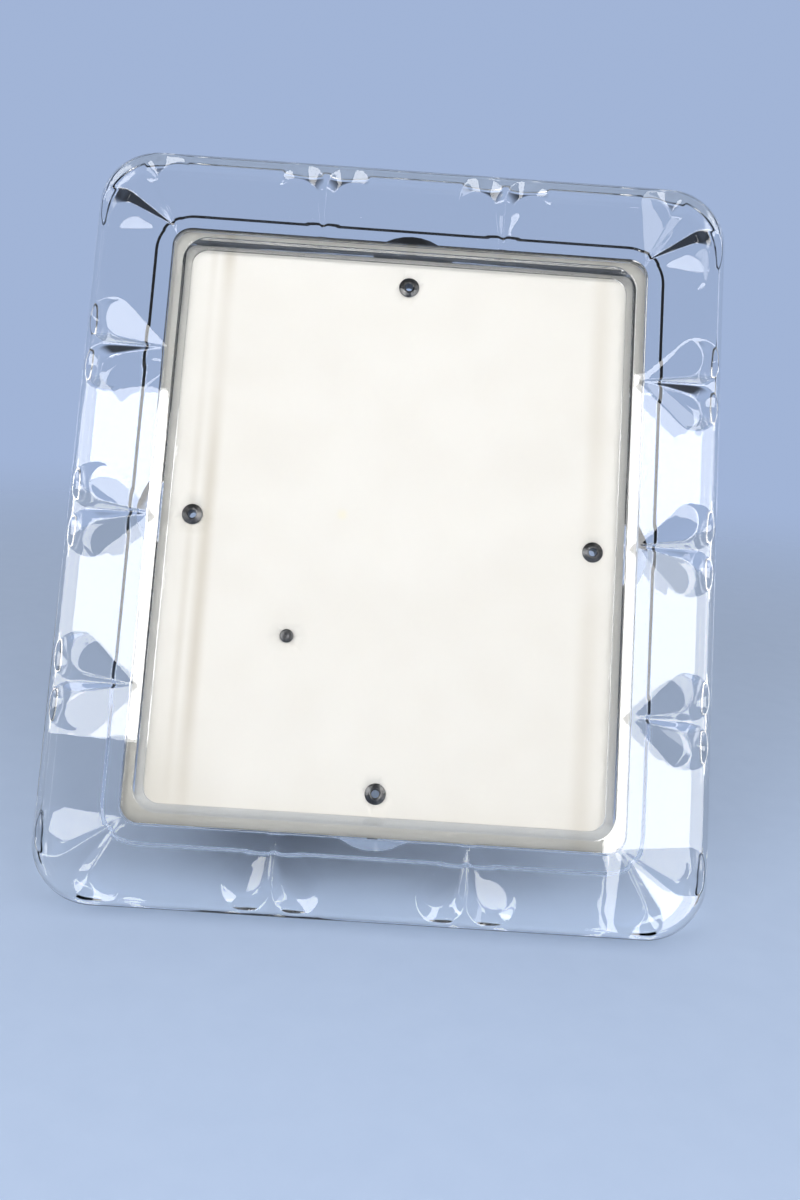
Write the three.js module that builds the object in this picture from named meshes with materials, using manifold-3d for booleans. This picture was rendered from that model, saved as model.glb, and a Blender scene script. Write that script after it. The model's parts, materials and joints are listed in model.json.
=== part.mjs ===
// Crystal picture frame for an 8 by 10 inch picture, standing on its easel leg. Millimetres.
// The heavy glass border is one pressed piece with fourteen hearts sunk into its front. Behind
// it lie a pane, a white-faced board with a velvet back and four turn buttons, and a skewed
// easel leg on a small butt hinge lets the frame stand upright or on its side.
import * as THREE from 'three';
import { mergeVertices } from 'three/addons/utils/BufferGeometryUtils.js';
import Module from 'manifold-3d';

const wasm = await Module();
wasm.setup();

// Every piece is drawn with the picture lying flat: x to the right, y up the picture and z
// towards the viewer, from z = 0 at the back of the border. At the end the frame is stood up.

// The picture and the glass border around it.
const pictureWidth = 203;
const pictureHeight = 254;
const pictureLap = 2.5;
const borderWidth = 44;
const frameDepth = 18;
const outerCornerRadius = 26.5;
const frontEdgeRadius = 3;
const backArris = 0.8;

// The window: a bevel on the front, a drafted wall and the lip that the pane lies against.
const sightCornerRadius = 7;
const sightBevelWidth = 3.2;
const sightBevelDepth = 3;
const sightWallDraft = 1.3;
const lipThickness = 6.5;

// The rebate behind the lip and the shallow ledge around it.
const boardMargin = 6.5;
const boardClearance = 0.8;
const boardCornerRadius = 8;
const ledgeWidth = 7.5;
const ledgeDepth = 1;
const ledgeDraft = 0.6;
const ledgeCornerRadius = 16;

// The hearts, each a pair of ball-ended scoops that share a tip.
const heartTipInset = 36.8;
const sideHeartCount = 3;
const sideHeartSpacing = 75.5;
const endHeartCount = 2;
const endHeartSpacing = 82;
const edgeLobe = { radius: 10.3, reach: 38.2, spread: 22.8, depth: 4.5 };
const cornerLobe = { radius: 10, reach: 38.5, spread: 30, depth: 4.5 };

// The layers in the rebate, from the pane backwards.
const seatGap = 0.3;
const paneThickness = 2;
const linerThickness = 0.4;
const coreThickness = 2;
const velvetThickness = 0.4;

// The turn buttons, and the hollow eyelets that they swing on.
const buttonThickness = 0.8;
const buttonReach = 23.2;
const buttonHeadRadius = 5;
const buttonArmWidth = 4.6;
const buttonInset = 18.5;
const sideButtonShift = 2.5;
const grooveClearance = 1;
const grooveHeight = 2;
const eyeletBore = 3.5;
const eyeletWall = 0.5;
const eyeletFlangeRadius = 4.6;
const eyeletFlangeHeight = 0.5;
const eyeletRollRadius = 3.6;
const eyeletRollHeight = 0.4;

// How the frame stands, and the leg that holds it.
const lean = 20.7;
const legSkew = 28;
const legOpening = 34;
const legWidth = 112;
const legLiningThickness = 0.4;
const legCoreThickness = 2.4;

// The stay ribbon: its rivet on the board, and how far down board and leg its rivets lie.
const ribbonRivetX = -43.5;
const ribbonRivetY = -49;
const ribbonOnBoard = 70;
const ribbonOnLeg = 95;
const ribbonWidth = 10;
const ribbonThickness = 0.5;
const ribbonTab = 6;
const ribbonRivetHeadRadius = 3;

// The butt hinge and its rivets.
const hingeLength = 44;
const hingeKnuckles = 5;
const hingeLeafLength = 16;
const leafThickness = 0.6;
const knuckleRadius = 1.7;
const knuckleGap = 0.3;
const pinRadius = 0.8;
const pinClearance = 0.15;
const pinHeadRadius = 1.5;
const pinHeadLength = 0.6;
const rivetRadius = 1.2;
const rivetHeadRadius = 2.4;
const rivetHeadHeight = 0.5;
const rivetSpacing = 28;
const rivetFromPin = 9;

// How finely the round stretches are divided.
const cornerSteps = 8;
const edgeSteps = 4;
const ballSteps = 9;
const scoopSides = 28;
const grooveSides = 72;
const turnedSides = 20;
const arcSegments = 10;
const overshoot = 1;

const radians = THREE.MathUtils.degToRad;

// Sizes that follow from those above.
const sightWidth = pictureWidth - 2 * pictureLap;
const sightHeight = pictureHeight - 2 * pictureLap;
const frameWidth = sightWidth + 2 * borderWidth;
const frameHeight = sightHeight + 2 * borderWidth;
const boardWidth = pictureWidth + 2 * boardMargin;
const boardHeight = pictureHeight + 2 * boardMargin;
const lipBack = frameDepth - lipThickness;
const paneBack = lipBack - seatGap - paneThickness;
const flangeFront = paneBack - seatGap;
const flangeBack = flangeFront - eyeletFlangeHeight;
const linerFront = flangeBack - seatGap;
const linerBack = linerFront - linerThickness;
const coreFront = linerBack - seatGap;
const coreBack = coreFront - coreThickness;
const velvetBack = coreBack - seatGap - velvetThickness;
const buttonBack = velvetBack - seatGap - buttonThickness;
const buttonPivotX = boardWidth / 2 - buttonInset;
const buttonPivotY = boardHeight / 2 - buttonInset;
const eyeletRadius = eyeletBore / 2 + eyeletWall;
const eyeletHole = eyeletRadius + seatGap;
const rivetHole = rivetRadius + seatGap;

const crystal = new THREE.MeshStandardMaterial({
  color: 0xf4f8fa, roughness: 0.02, metalness: 0, transparent: true, opacity: 0.35,
});
const windowGlass = new THREE.MeshStandardMaterial({
  color: 0xeef4f2, roughness: 0.02, metalness: 0, transparent: true, opacity: 0.2,
});
const whitePaper = new THREE.MeshStandardMaterial({ color: 0xf1efe6, roughness: 0.8, metalness: 0 });
const greyBoard = new THREE.MeshStandardMaterial({ color: 0x8d877b, roughness: 0.9, metalness: 0 });
const blackVelvet = new THREE.MeshStandardMaterial({ color: 0x15151a, roughness: 1, metalness: 0 });
const blackPaper = new THREE.MeshStandardMaterial({ color: 0x1d1c1e, roughness: 0.85, metalness: 0 });
const blackRibbon = new THREE.MeshStandardMaterial({ color: 0x111114, roughness: 0.6, metalness: 0 });
const gunmetal = new THREE.MeshStandardMaterial({ color: 0x3b3c3c, roughness: 0.35, metalness: 0.9 });
const steel = new THREE.MeshStandardMaterial({ color: 0xa9abad, roughness: 0.35, metalness: 0.95 });

// Makes a solid for cutting and joining from a closed geometry.
function solidOf(geometry) {
  const bare = geometry.clone();
  bare.deleteAttribute('normal');
  bare.deleteAttribute('uv');
  const merged = mergeVertices(bare);
  return new wasm.Manifold(new wasm.Mesh({
    numProp: 3,
    vertProperties: new Float32Array(merged.attributes.position.array),
    triVerts: new Uint32Array(merged.index.array),
  }));
}

// Gives a cut or joined solid back as a geometry.
function geometryOf(solid) {
  const result = solid.getMesh();
  const geometry = new THREE.BufferGeometry();
  geometry.setAttribute('position', new THREE.BufferAttribute(new Float32Array(result.vertProperties), 3));
  geometry.setIndex(new THREE.BufferAttribute(new Uint32Array(result.triVerts), 1));
  geometry.computeVertexNormals();
  return geometry;
}

function named(name, geometry, material) {
  const mesh = new THREE.Mesh(geometry, material);
  mesh.name = name;
  return mesh;
}

// A flat sheet of the given shape, lying from z = low upwards.
function sheet(shape, low, thickness) {
  const geometry = new THREE.ExtrudeGeometry(shape, {
    depth: thickness, bevelEnabled: false, curveSegments: arcSegments,
  });
  return geometry.translate(0, 0, low);
}

// A shape with the given outline and round holes.
function shapeWithHoles(outline, holes) {
  const shape = new THREE.Shape(outline);
  holes.forEach(({ x, y, radius }) => {
    const hole = new THREE.Path();
    hole.absarc(x, y, radius, 0, 2 * Math.PI, true);
    shape.holes.push(hole);
  });
  return shape;
}

// A turned piece about z, from points of radius and height.
function turned(profile, sides = turnedSides) {
  const points = profile.map(([radius, height]) => new THREE.Vector2(radius, height));
  return new THREE.LatheGeometry(points, sides).rotateX(Math.PI / 2);
}

// A plain disc about the line through x and y, between two heights.
function disc(x, y, radius, low, high, sides = turnedSides) {
  return turned([[0, low], [radius, low], [radius, high], [0, high]], sides).translate(x, y, 0);
}

// Points of a rounded rectangle, anticlockwise, with the same count whatever its size.
function roundedRectangle(halfWidth, halfHeight, radius) {
  const points = [];
  const corners = [[1, 1], [-1, 1], [-1, -1], [1, -1]];
  corners.forEach(([sideX, sideY], quarter) => {
    for (let step = 0; step <= cornerSteps; step += 1) {
      const angle = (quarter + step / cornerSteps) * Math.PI / 2;
      points.push(new THREE.Vector2(
        sideX * (halfWidth - radius) + radius * Math.cos(angle),
        sideY * (halfHeight - radius) + radius * Math.sin(angle),
      ));
    }
  });
  return points;
}

// A solid through a stack of rounded rectangles, from the lowest to the highest.
function stackedLoft(layers) {
  const rings = layers.map(({ halfWidth, halfHeight, radius }) => (
    roundedRectangle(halfWidth, halfHeight, radius)));
  const count = rings[0].length;
  const positions = [];
  rings.forEach((ring, level) => {
    ring.forEach((point) => positions.push(point.x, point.y, layers[level].height));
  });
  const index = [];
  for (let level = 0; level + 1 < rings.length; level += 1) {
    for (let i = 0; i < count; i += 1) {
      const a = level * count + i;
      const b = level * count + (i + 1) % count;
      index.push(a, b, b + count, a, b + count, a + count);
    }
  }
  const top = (rings.length - 1) * count;
  THREE.ShapeUtils.triangulateShape(rings[0], []).forEach(([a, b, c]) => index.push(a, c, b));
  THREE.ShapeUtils.triangulateShape(rings.at(-1), []).forEach(([a, b, c]) => {
    index.push(top + a, top + b, top + c);
  });
  const geometry = new THREE.BufferGeometry();
  geometry.setAttribute('position', new THREE.Float32BufferAttribute(positions, 3));
  geometry.setIndex(index);
  return geometry;
}

// A layer of a loft: the rectangle width x height grown by an offset on every side.
function layer(width, height, offset, radius, level) {
  return { halfWidth: width / 2 + offset, halfHeight: height / 2 + offset, radius, height: level };
}

// The outside of the border: an arris at the back and a full round on the front edge.
function borderBlank() {
  const outside = (inset, level) => (
    layer(frameWidth, frameHeight, -inset, outerCornerRadius - inset, level));
  const layers = [outside(backArris, 0), outside(0, backArris)];
  for (let step = 0; step <= edgeSteps; step += 1) {
    const angle = step / edgeSteps * Math.PI / 2;
    layers.push(outside(
      frontEdgeRadius * (1 - Math.cos(angle)),
      frameDepth - frontEdgeRadius * (1 - Math.sin(angle)),
    ));
  }
  return stackedLoft(layers);
}

// What is left open in the middle: ledge, rebate, drafted wall and front bevel.
function windowOpening() {
  const rebateWidth = boardWidth + 2 * boardClearance;
  const rebateHeight = boardHeight + 2 * boardClearance;
  const rebateRadius = boardCornerRadius + boardClearance;
  const ledge = (offset, level) => (
    layer(rebateWidth, rebateHeight, ledgeWidth + offset, ledgeCornerRadius + offset, level));
  const rebate = (level) => layer(rebateWidth, rebateHeight, 0, rebateRadius, level);
  const sight = (offset, level) => (
    layer(sightWidth, sightHeight, offset, sightCornerRadius + offset, level));
  const bevelTop = sightWallDraft + sightBevelWidth;
  return stackedLoft([
    ledge(ledgeDraft, -overshoot),
    ledge(ledgeDraft, 0),
    ledge(0, ledgeDepth),
    rebate(ledgeDepth),
    rebate(lipBack),
    sight(0, lipBack),
    sight(sightWallDraft, frameDepth - sightBevelDepth),
    sight(bevelTop, frameDepth),
    sight(bevelTop, frameDepth + overshoot),
  ]);
}

// One scoop: a cone that runs from the heart's tip into a ball, whose centre is held above the
// face so that the ball sinks to the lobe's depth and meets the face in the lobe's radius.
function scoop(tipX, tipY, direction, lobe) {
  const ball = (lobe.radius ** 2 + lobe.depth ** 2) / (2 * lobe.depth);
  const lift = ball - lobe.depth;
  const run = lobe.reach - lobe.radius;
  const distance = Math.hypot(run, lift);
  const coneAngle = Math.asin(ball / distance);
  const profile = [new THREE.Vector2(0, 0)];
  for (let step = 0; step < ballSteps; step += 1) {
    const angle = THREE.MathUtils.lerp(-coneAngle, Math.PI / 2, step / ballSteps);
    profile.push(new THREE.Vector2(ball * Math.cos(angle), distance + ball * Math.sin(angle)));
  }
  profile.push(new THREE.Vector2(0, distance + ball));
  const axis = new THREE.Vector3(run * Math.cos(direction), run * Math.sin(direction), lift).normalize();
  const cutter = new THREE.LatheGeometry(profile, scoopSides);
  cutter.applyQuaternion(new THREE.Quaternion().setFromUnitVectors(new THREE.Vector3(0, 1, 0), axis));
  return cutter.translate(tipX, tipY, frameDepth);
}

// The two scoops of a heart, which opens in the given direction, in degrees.
function heart(tipX, tipY, direction, lobe) {
  return [-1, 1].map((side) => scoop(tipX, tipY, radians(direction + side * lobe.spread), lobe));
}

// Places spread evenly about the middle of a side.
function evenly(count, spacing) {
  return Array.from({ length: count }, (_, i) => (i - (count - 1) / 2) * spacing);
}

// All the scoops: hearts up both sides, along both ends and across the four corners.
function heartScoops() {
  const tipX = frameWidth / 2 - heartTipInset;
  const tipY = frameHeight / 2 - heartTipInset;
  const scoops = [];
  evenly(sideHeartCount, sideHeartSpacing).forEach((along) => {
    scoops.push(...heart(tipX, along, 0, edgeLobe), ...heart(-tipX, along, 180, edgeLobe));
  });
  evenly(endHeartCount, endHeartSpacing).forEach((along) => {
    scoops.push(...heart(along, tipY, 90, edgeLobe), ...heart(along, -tipY, 270, edgeLobe));
  });
  [45, 135, 225, 315].forEach((direction) => {
    const cornerX = Math.sign(Math.cos(radians(direction))) * tipX;
    const cornerY = Math.sign(Math.sin(radians(direction))) * tipY;
    scoops.push(...heart(cornerX, cornerY, direction, cornerLobe));
  });
  return scoops;
}

// Each turn button's pivot, and the way that its arm points, in degrees.
const buttons = [
  { side: 'top', x: 0, y: buttonPivotY, direction: 90 },
  { side: 'left', x: -buttonPivotX, y: sideButtonShift, direction: 180 },
  { side: 'bottom', x: 0, y: -buttonPivotY, direction: 270 },
  { side: 'right', x: buttonPivotX, y: -sideButtonShift, direction: 0 },
];

// The curved groove that a button's arm turns into, ground into the rebate's wall.
function groove({ x, y }) {
  const middle = buttonBack + buttonThickness / 2;
  const radius = buttonReach + grooveClearance;
  return disc(x, y, radius, middle - grooveHeight / 2, middle + grooveHeight / 2, grooveSides);
}

function crystalFrame() {
  let glass = solidOf(borderBlank()).subtract(solidOf(windowOpening()));
  [...heartScoops(), ...buttons.map(groove)].forEach((cutter) => {
    glass = glass.subtract(solidOf(cutter));
  });
  return geometryOf(glass);
}

// The hinge has axes of its own: x across the leg, y down it and z away from the board. The
// seat lays them on the board, with the pin a knuckle's radius behind the velvet and the
// ribbon's rivet straight below the hinge, and the leg turns in them about x.
const pinHeight = velvetBack - seatGap - knuckleRadius;
const hingeX = ribbonRivetX + ribbonOnBoard * Math.sin(radians(legSkew));
const hingeY = ribbonRivetY + ribbonOnBoard * Math.cos(radians(legSkew));
const hingeSeat = new THREE.Group();
hingeSeat.position.set(hingeX, hingeY, pinHeight);
hingeSeat.rotation.set(Math.PI, 0, radians(legSkew));
const leg = new THREE.Group();
leg.rotation.x = radians(legOpening);
hingeSeat.add(leg);
hingeSeat.updateMatrixWorld(true);

// The leg's layers, outwards from the pin.
const liningInner = knuckleRadius + seatGap;
const legCoreInner = liningInner + legLiningThickness + seatGap;
const legVelvetInner = legCoreInner + legCoreThickness + seatGap;
const legOuter = legVelvetInner + velvetThickness;

// The hinge's two rivets, in the hinge's axes and on the board.
const hingeRivets = [-1, 1].map((side) => ({
  x: side * rivetSpacing / 2, y: rivetFromPin, radius: rivetHole,
}));
const boardRivets = hingeRivets.map(({ x, y }) => hingeSeat.localToWorld(new THREE.Vector3(x, y, 0)));

// The holes that go through the board, and those that its front liner shows.
const linerHoles = [
  ...buttons.map(({ x, y }) => ({ x, y, radius: eyeletHole })),
  { x: ribbonRivetX, y: ribbonRivetY, radius: rivetHole },
];
const boardHoles = [...linerHoles, ...boardRivets.map(({ x, y }) => ({ x, y, radius: rivetHole }))];

function boardSheet(low, thickness, holes) {
  const outline = roundedRectangle(boardWidth / 2, boardHeight / 2, boardCornerRadius);
  return sheet(shapeWithHoles(outline, holes), low, thickness);
}

// The board's core, countersunk for the hinge rivets' heads, which the liner covers.
function boardCore() {
  let core = solidOf(boardSheet(coreBack, coreThickness, boardHoles));
  const recessFloor = coreFront - rivetHeadHeight - seatGap;
  boardRivets.forEach(({ x, y }) => {
    const recess = disc(x, y, rivetHeadRadius + seatGap, recessFloor, coreFront + overshoot);
    core = core.subtract(solidOf(recess));
  });
  return geometryOf(core);
}

// A turn button: a round head about the eyelet and a straight arm with a square end.
function turnButton() {
  const half = buttonArmWidth / 2;
  const meet = Math.asin(half / buttonHeadRadius);
  const shape = new THREE.Shape();
  shape.moveTo(buttonReach, -half);
  shape.lineTo(buttonReach, half);
  shape.absarc(0, 0, buttonHeadRadius, meet, 2 * Math.PI - meet, false);
  shape.closePath();
  const hole = new THREE.Path();
  hole.absarc(0, 0, eyeletHole, 0, 2 * Math.PI, true);
  shape.holes.push(hole);
  return sheet(shape, buttonBack, buttonThickness);
}

// A hollow eyelet: a dished flange on the liner, a barrel and a rolled end behind the button.
function eyelet() {
  const bore = eyeletBore / 2;
  const rollFront = buttonBack - seatGap;
  const rollBack = rollFront - eyeletRollHeight;
  const shoulder = flangeBack + eyeletFlangeHeight / 2;
  return turned([
    [bore, rollBack],
    [eyeletRadius, rollBack],
    [eyeletRollRadius, rollBack + eyeletRollHeight / 2],
    [eyeletRollRadius, rollFront],
    [eyeletRadius, rollFront],
    [eyeletRadius, flangeBack],
    [eyeletFlangeRadius, flangeBack],
    [eyeletFlangeRadius, shoulder],
    [(eyeletFlangeRadius + eyeletRadius) / 2, flangeFront],
    [eyeletRadius, flangeFront],
    [bore, shoulder],
    [bore, rollBack],
  ]);
}

// A rivet about z, with its shank between two heights and a low-domed head beyond each.
function rivet(low, high, lowHeadRadius, highHeadRadius) {
  const lowHead = low - rivetHeadHeight;
  const highHead = high + rivetHeadHeight;
  return turned([
    [0, lowHead],
    [lowHeadRadius * 2 / 3, lowHead],
    [lowHeadRadius, low - rivetHeadHeight / 2],
    [lowHeadRadius, low],
    [rivetRadius, low],
    [rivetRadius, high],
    [highHeadRadius, high],
    [highHeadRadius, high + rivetHeadHeight / 2],
    [highHeadRadius * 2 / 3, highHead],
    [0, highHead],
  ]);
}

// The table that the frame stands on, for a way up and a point of the border that touches it.
function tableUnder(up, contact) {
  return new THREE.Plane().setFromNormalAndCoplanarPoint(up, contact);
}

// The two tables that the foot is cut to. Upright, the frame leans by its lean. On its left
// side it leans until the same toe, on the leg's middle line, touches the table.
function footTables() {
  const upright = new THREE.Vector3(0, Math.cos(radians(lean)), Math.sin(radians(lean)));
  const uprightTable = tableUnder(upright, new THREE.Vector3(0, -frameHeight / 2, backArris));
  const start = leg.localToWorld(new THREE.Vector3(0, 0, liningInner));
  const downLeg = new THREE.Vector3(0, 1, 0).transformDirection(leg.matrixWorld);
  const toe = new THREE.Ray(start, downLeg).intersectPlane(uprightTable, new THREE.Vector3());
  const leftEdge = new THREE.Vector3(-frameWidth / 2, 0, backArris);
  const sideLean = Math.atan2(toe.x - leftEdge.x, leftEdge.z - toe.z);
  const sideways = new THREE.Vector3(Math.cos(sideLean), 0, Math.sin(sideLean));
  return [uprightTable, tableUnder(sideways, leftEdge)];
}

// Everything below a table, in the leg's axes.
function belowTable(table) {
  const side = 2 * frameHeight;
  const slab = new THREE.BoxGeometry(side, side, side).translate(0, 0, -side / 2);
  slab.applyQuaternion(new THREE.Quaternion().setFromUnitVectors(new THREE.Vector3(0, 0, 1), table.normal));
  const onTable = table.coplanarPoint(new THREE.Vector3());
  slab.translate(onTable.x, onTable.y, onTable.z);
  return solidOf(slab.applyMatrix4(leg.matrixWorld.clone().invert()));
}

const legHoles = [...hingeRivets, { x: 0, y: ribbonOnLeg, radius: rivetHole }];

// One layer of the leg, cut off where it would pass below either table.
function legLayer(low, thickness) {
  const outline = [
    new THREE.Vector2(-legWidth / 2, 0),
    new THREE.Vector2(legWidth / 2, 0),
    new THREE.Vector2(legWidth / 2, frameHeight),
    new THREE.Vector2(-legWidth / 2, frameHeight),
  ];
  let blank = solidOf(sheet(shapeWithHoles(outline, legHoles), low, thickness));
  footTables().forEach((table) => {
    blank = blank.subtract(belowTable(table));
  });
  return geometryOf(blank);
}

// A rolled tube along x, from the given start.
function knuckle(start, length) {
  const ring = new THREE.Shape();
  ring.absarc(0, 0, knuckleRadius, 0, 2 * Math.PI, false);
  const bore = new THREE.Path();
  bore.absarc(0, 0, pinRadius + pinClearance, 0, 2 * Math.PI, true);
  ring.holes.push(bore);
  return sheet(ring, 0, length).rotateY(Math.PI / 2).translate(start, 0, 0);
}

// A leaf of the hinge with every other knuckle. Its plate lies tangent to the knuckles, low on
// the board's leaf and high on the leg's.
function hingeLeaf(firstKnuckle, plateLow) {
  const half = hingeLength / 2;
  const plateStart = knuckleRadius + knuckleGap;
  const outline = [
    new THREE.Vector2(-half, plateStart),
    new THREE.Vector2(half, plateStart),
    new THREE.Vector2(half, hingeLeafLength),
    new THREE.Vector2(-half, hingeLeafLength),
  ];
  let leaf = solidOf(sheet(shapeWithHoles(outline, hingeRivets), plateLow, leafThickness));
  const pitch = (hingeLength + knuckleGap) / hingeKnuckles;
  const length = pitch - knuckleGap;
  const tongueReach = plateStart + leafThickness;
  for (let i = firstKnuckle; i < hingeKnuckles; i += 2) {
    const start = i * pitch - half;
    const tongue = new THREE.BoxGeometry(length, tongueReach, leafThickness);
    tongue.translate(start + length / 2, tongueReach / 2, plateLow + leafThickness / 2);
    leaf = leaf.add(solidOf(knuckle(start, length))).add(solidOf(tongue));
  }
  return geometryOf(leaf);
}

// The hinge pin with its two peened ends.
function hingePin() {
  const half = hingeLength / 2 + knuckleGap;
  return turned([
    [0, -half - pinHeadLength],
    [pinHeadRadius, -half - pinHeadLength / 2],
    [pinHeadRadius, -half],
    [pinRadius, -half],
    [pinRadius, half],
    [pinHeadRadius, half],
    [pinHeadRadius, half + pinHeadLength / 2],
    [0, half + pinHeadLength],
  ]).rotateY(Math.PI / 2);
}

// Thickens an open line of points into a closed outline of even width.
function thickened(line, thickness) {
  const normals = line.slice(1).map((point, i) => {
    const along = point.clone().sub(line[i]).normalize();
    return new THREE.Vector2(-along.y, along.x);
  });
  const offsets = line.map((_, i) => {
    const before = normals[Math.max(i - 1, 0)];
    const after = normals[Math.min(i, normals.length - 1)];
    const mitre = before.clone().add(after).normalize();
    return mitre.multiplyScalar(thickness / 2 / mitre.dot(before));
  });
  const left = line.map((point, i) => point.clone().add(offsets[i]));
  const right = line.map((point, i) => point.clone().sub(offsets[i]));
  return [...left, ...right.reverse()];
}

// The stay ribbon, taut as it holds the open leg: a tab on the board, a straight run and a tab
// on the leg. It is drawn in the hinge's axes, from y and z, and is as wide as x.
function stayRibbon() {
  const opening = radians(legOpening);
  const tabHeight = knuckleRadius - ribbonThickness / 2;
  const onLeg = (y) => new THREE.Vector2(y, tabHeight).rotateAround(new THREE.Vector2(), opening);
  const outline = thickened([
    new THREE.Vector2(ribbonOnBoard - ribbonTab, -tabHeight),
    new THREE.Vector2(ribbonOnBoard + ribbonTab, -tabHeight),
    onLeg(ribbonOnLeg - ribbonTab),
    onLeg(ribbonOnLeg + ribbonTab),
  ], ribbonThickness);
  const strip = sheet(new THREE.Shape(outline), -ribbonWidth / 2, ribbonWidth);
  const turn = new THREE.Matrix4().makeBasis(
    new THREE.Vector3(0, 1, 0),
    new THREE.Vector3(0, 0, 1),
    new THREE.Vector3(1, 0, 0),
  );
  const boardHole = disc(0, ribbonOnBoard, rivetHole, -knuckleRadius - overshoot, 0);
  const legHole = disc(0, ribbonOnLeg, rivetHole, 0, knuckleRadius + overshoot).applyMatrix4(leg.matrix);
  const ribbon = solidOf(strip.applyMatrix4(turn));
  return geometryOf(ribbon.subtract(solidOf(boardHole)).subtract(solidOf(legHole)));
}

const frame = new THREE.Group();
frame.add(named('crystal_frame', crystalFrame(), crystal));

// The layers in the rebate.
const linerGeometry = boardSheet(linerBack, linerThickness, linerHoles);
const velvetGeometry = boardSheet(velvetBack, velvetThickness, boardHoles);
frame.add(named('glass_pane', boardSheet(paneBack, paneThickness, []), windowGlass));
frame.add(named('white_liner', linerGeometry, whitePaper));
frame.add(named('board_core', boardCore(), greyBoard));
frame.add(named('velvet_back', velvetGeometry, blackVelvet));

// The eyelets and turn buttons.
const eyeletGeometry = eyelet();
const buttonGeometry = turnButton();
buttons.forEach(({ side, x, y, direction }) => {
  const pivot = new THREE.Group();
  const button = named(`turn_button_${side}`, buttonGeometry, gunmetal);
  pivot.position.set(x, y, 0);
  button.rotation.z = radians(direction);
  pivot.add(button, named(`eyelet_${side}`, eyeletGeometry, gunmetal));
  frame.add(pivot);
});

// The rivets through the board.
const boardLeafOuter = pinHeight + knuckleRadius - leafThickness;
const boardRivetFront = coreFront - rivetHeadHeight;
const boardRivetGeometry = rivet(boardLeafOuter - seatGap, boardRivetFront, rivetHeadRadius, rivetHeadRadius);
boardRivets.forEach(({ x, y }, i) => {
  const boardRivet = named(`hinge_board_rivet_${i + 1}`, boardRivetGeometry, steel);
  boardRivet.position.set(x, y, 0);
  frame.add(boardRivet);
});
const ribbonOuter = pinHeight + knuckleRadius - ribbonThickness;
const ribbonRivetGeometry = rivet(ribbonOuter - seatGap, flangeBack, ribbonRivetHeadRadius, ribbonRivetHeadRadius);
const ribbonBoardRivet = named('ribbon_rivet_board', ribbonRivetGeometry, gunmetal);
ribbonBoardRivet.position.set(ribbonRivetX, ribbonRivetY, 0);
frame.add(ribbonBoardRivet);

// The hinge on the board, and the stay ribbon.
hingeSeat.add(named('hinge_board_leaf', hingeLeaf(0, -knuckleRadius), steel));
hingeSeat.add(named('hinge_pin', hingePin(), steel));
hingeSeat.add(named('stay_ribbon', stayRibbon(), blackRibbon));
frame.add(hingeSeat);

// The leg with its own leaf and rivets.
const legLeafLow = knuckleRadius - leafThickness;
const legRivetHigh = legOuter + seatGap;
const legRivetGeometry = rivet(legLeafLow - seatGap, legRivetHigh, rivetHeadRadius, rivetHeadRadius);
const ribbonInner = knuckleRadius - ribbonThickness;
leg.add(named('leg_lining', legLayer(liningInner, legLiningThickness), blackPaper));
leg.add(named('leg_core', legLayer(legCoreInner, legCoreThickness), greyBoard));
leg.add(named('leg_velvet', legLayer(legVelvetInner, velvetThickness), blackVelvet));
leg.add(named('hinge_leg_leaf', hingeLeaf(1, legLeafLow), steel));
hingeRivets.forEach(({ x, y }, i) => {
  const legRivet = named(`hinge_leg_rivet_${i + 1}`, legRivetGeometry, steel);
  legRivet.position.set(x, y, 0);
  leg.add(legRivet);
});
const ribbonLegRivet = named('ribbon_rivet_leg',
  rivet(ribbonInner - seatGap, legRivetHigh, rivetHeadRadius, ribbonRivetHeadRadius), gunmetal);
ribbonLegRivet.position.set(0, ribbonOnLeg, 0);
leg.add(ribbonLegRivet);

// The frame stands on its bottom back edge and leans back on the leg, with the origin on the
// table below the middle of it all.
const standing = new THREE.Group();
frame.rotation.x = radians(90 - lean);
standing.add(frame);
standing.updateMatrixWorld(true);
const bounds = new THREE.Box3().setFromObject(standing, true);
const middle = bounds.getCenter(new THREE.Vector3());
frame.position.set(-middle.x, -middle.y, -bounds.min.z);

export default standing;
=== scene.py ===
# %% [markdown]
# # A crystal picture frame
# The frame is one heavy piece of pressed glass with hearts sunk into its border. A board with a
# velvet back lies behind its window, and a velvet easel leg holds it up. This lesson dresses the
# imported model: it puts a finer mesh over what catches the light, and a finish on everything.

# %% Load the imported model
import json
import math
from contextlib import contextmanager

import bmesh
import bpy
import numpy as np
from mathutils import Euler, Matrix, Vector, geometry, noise

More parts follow.
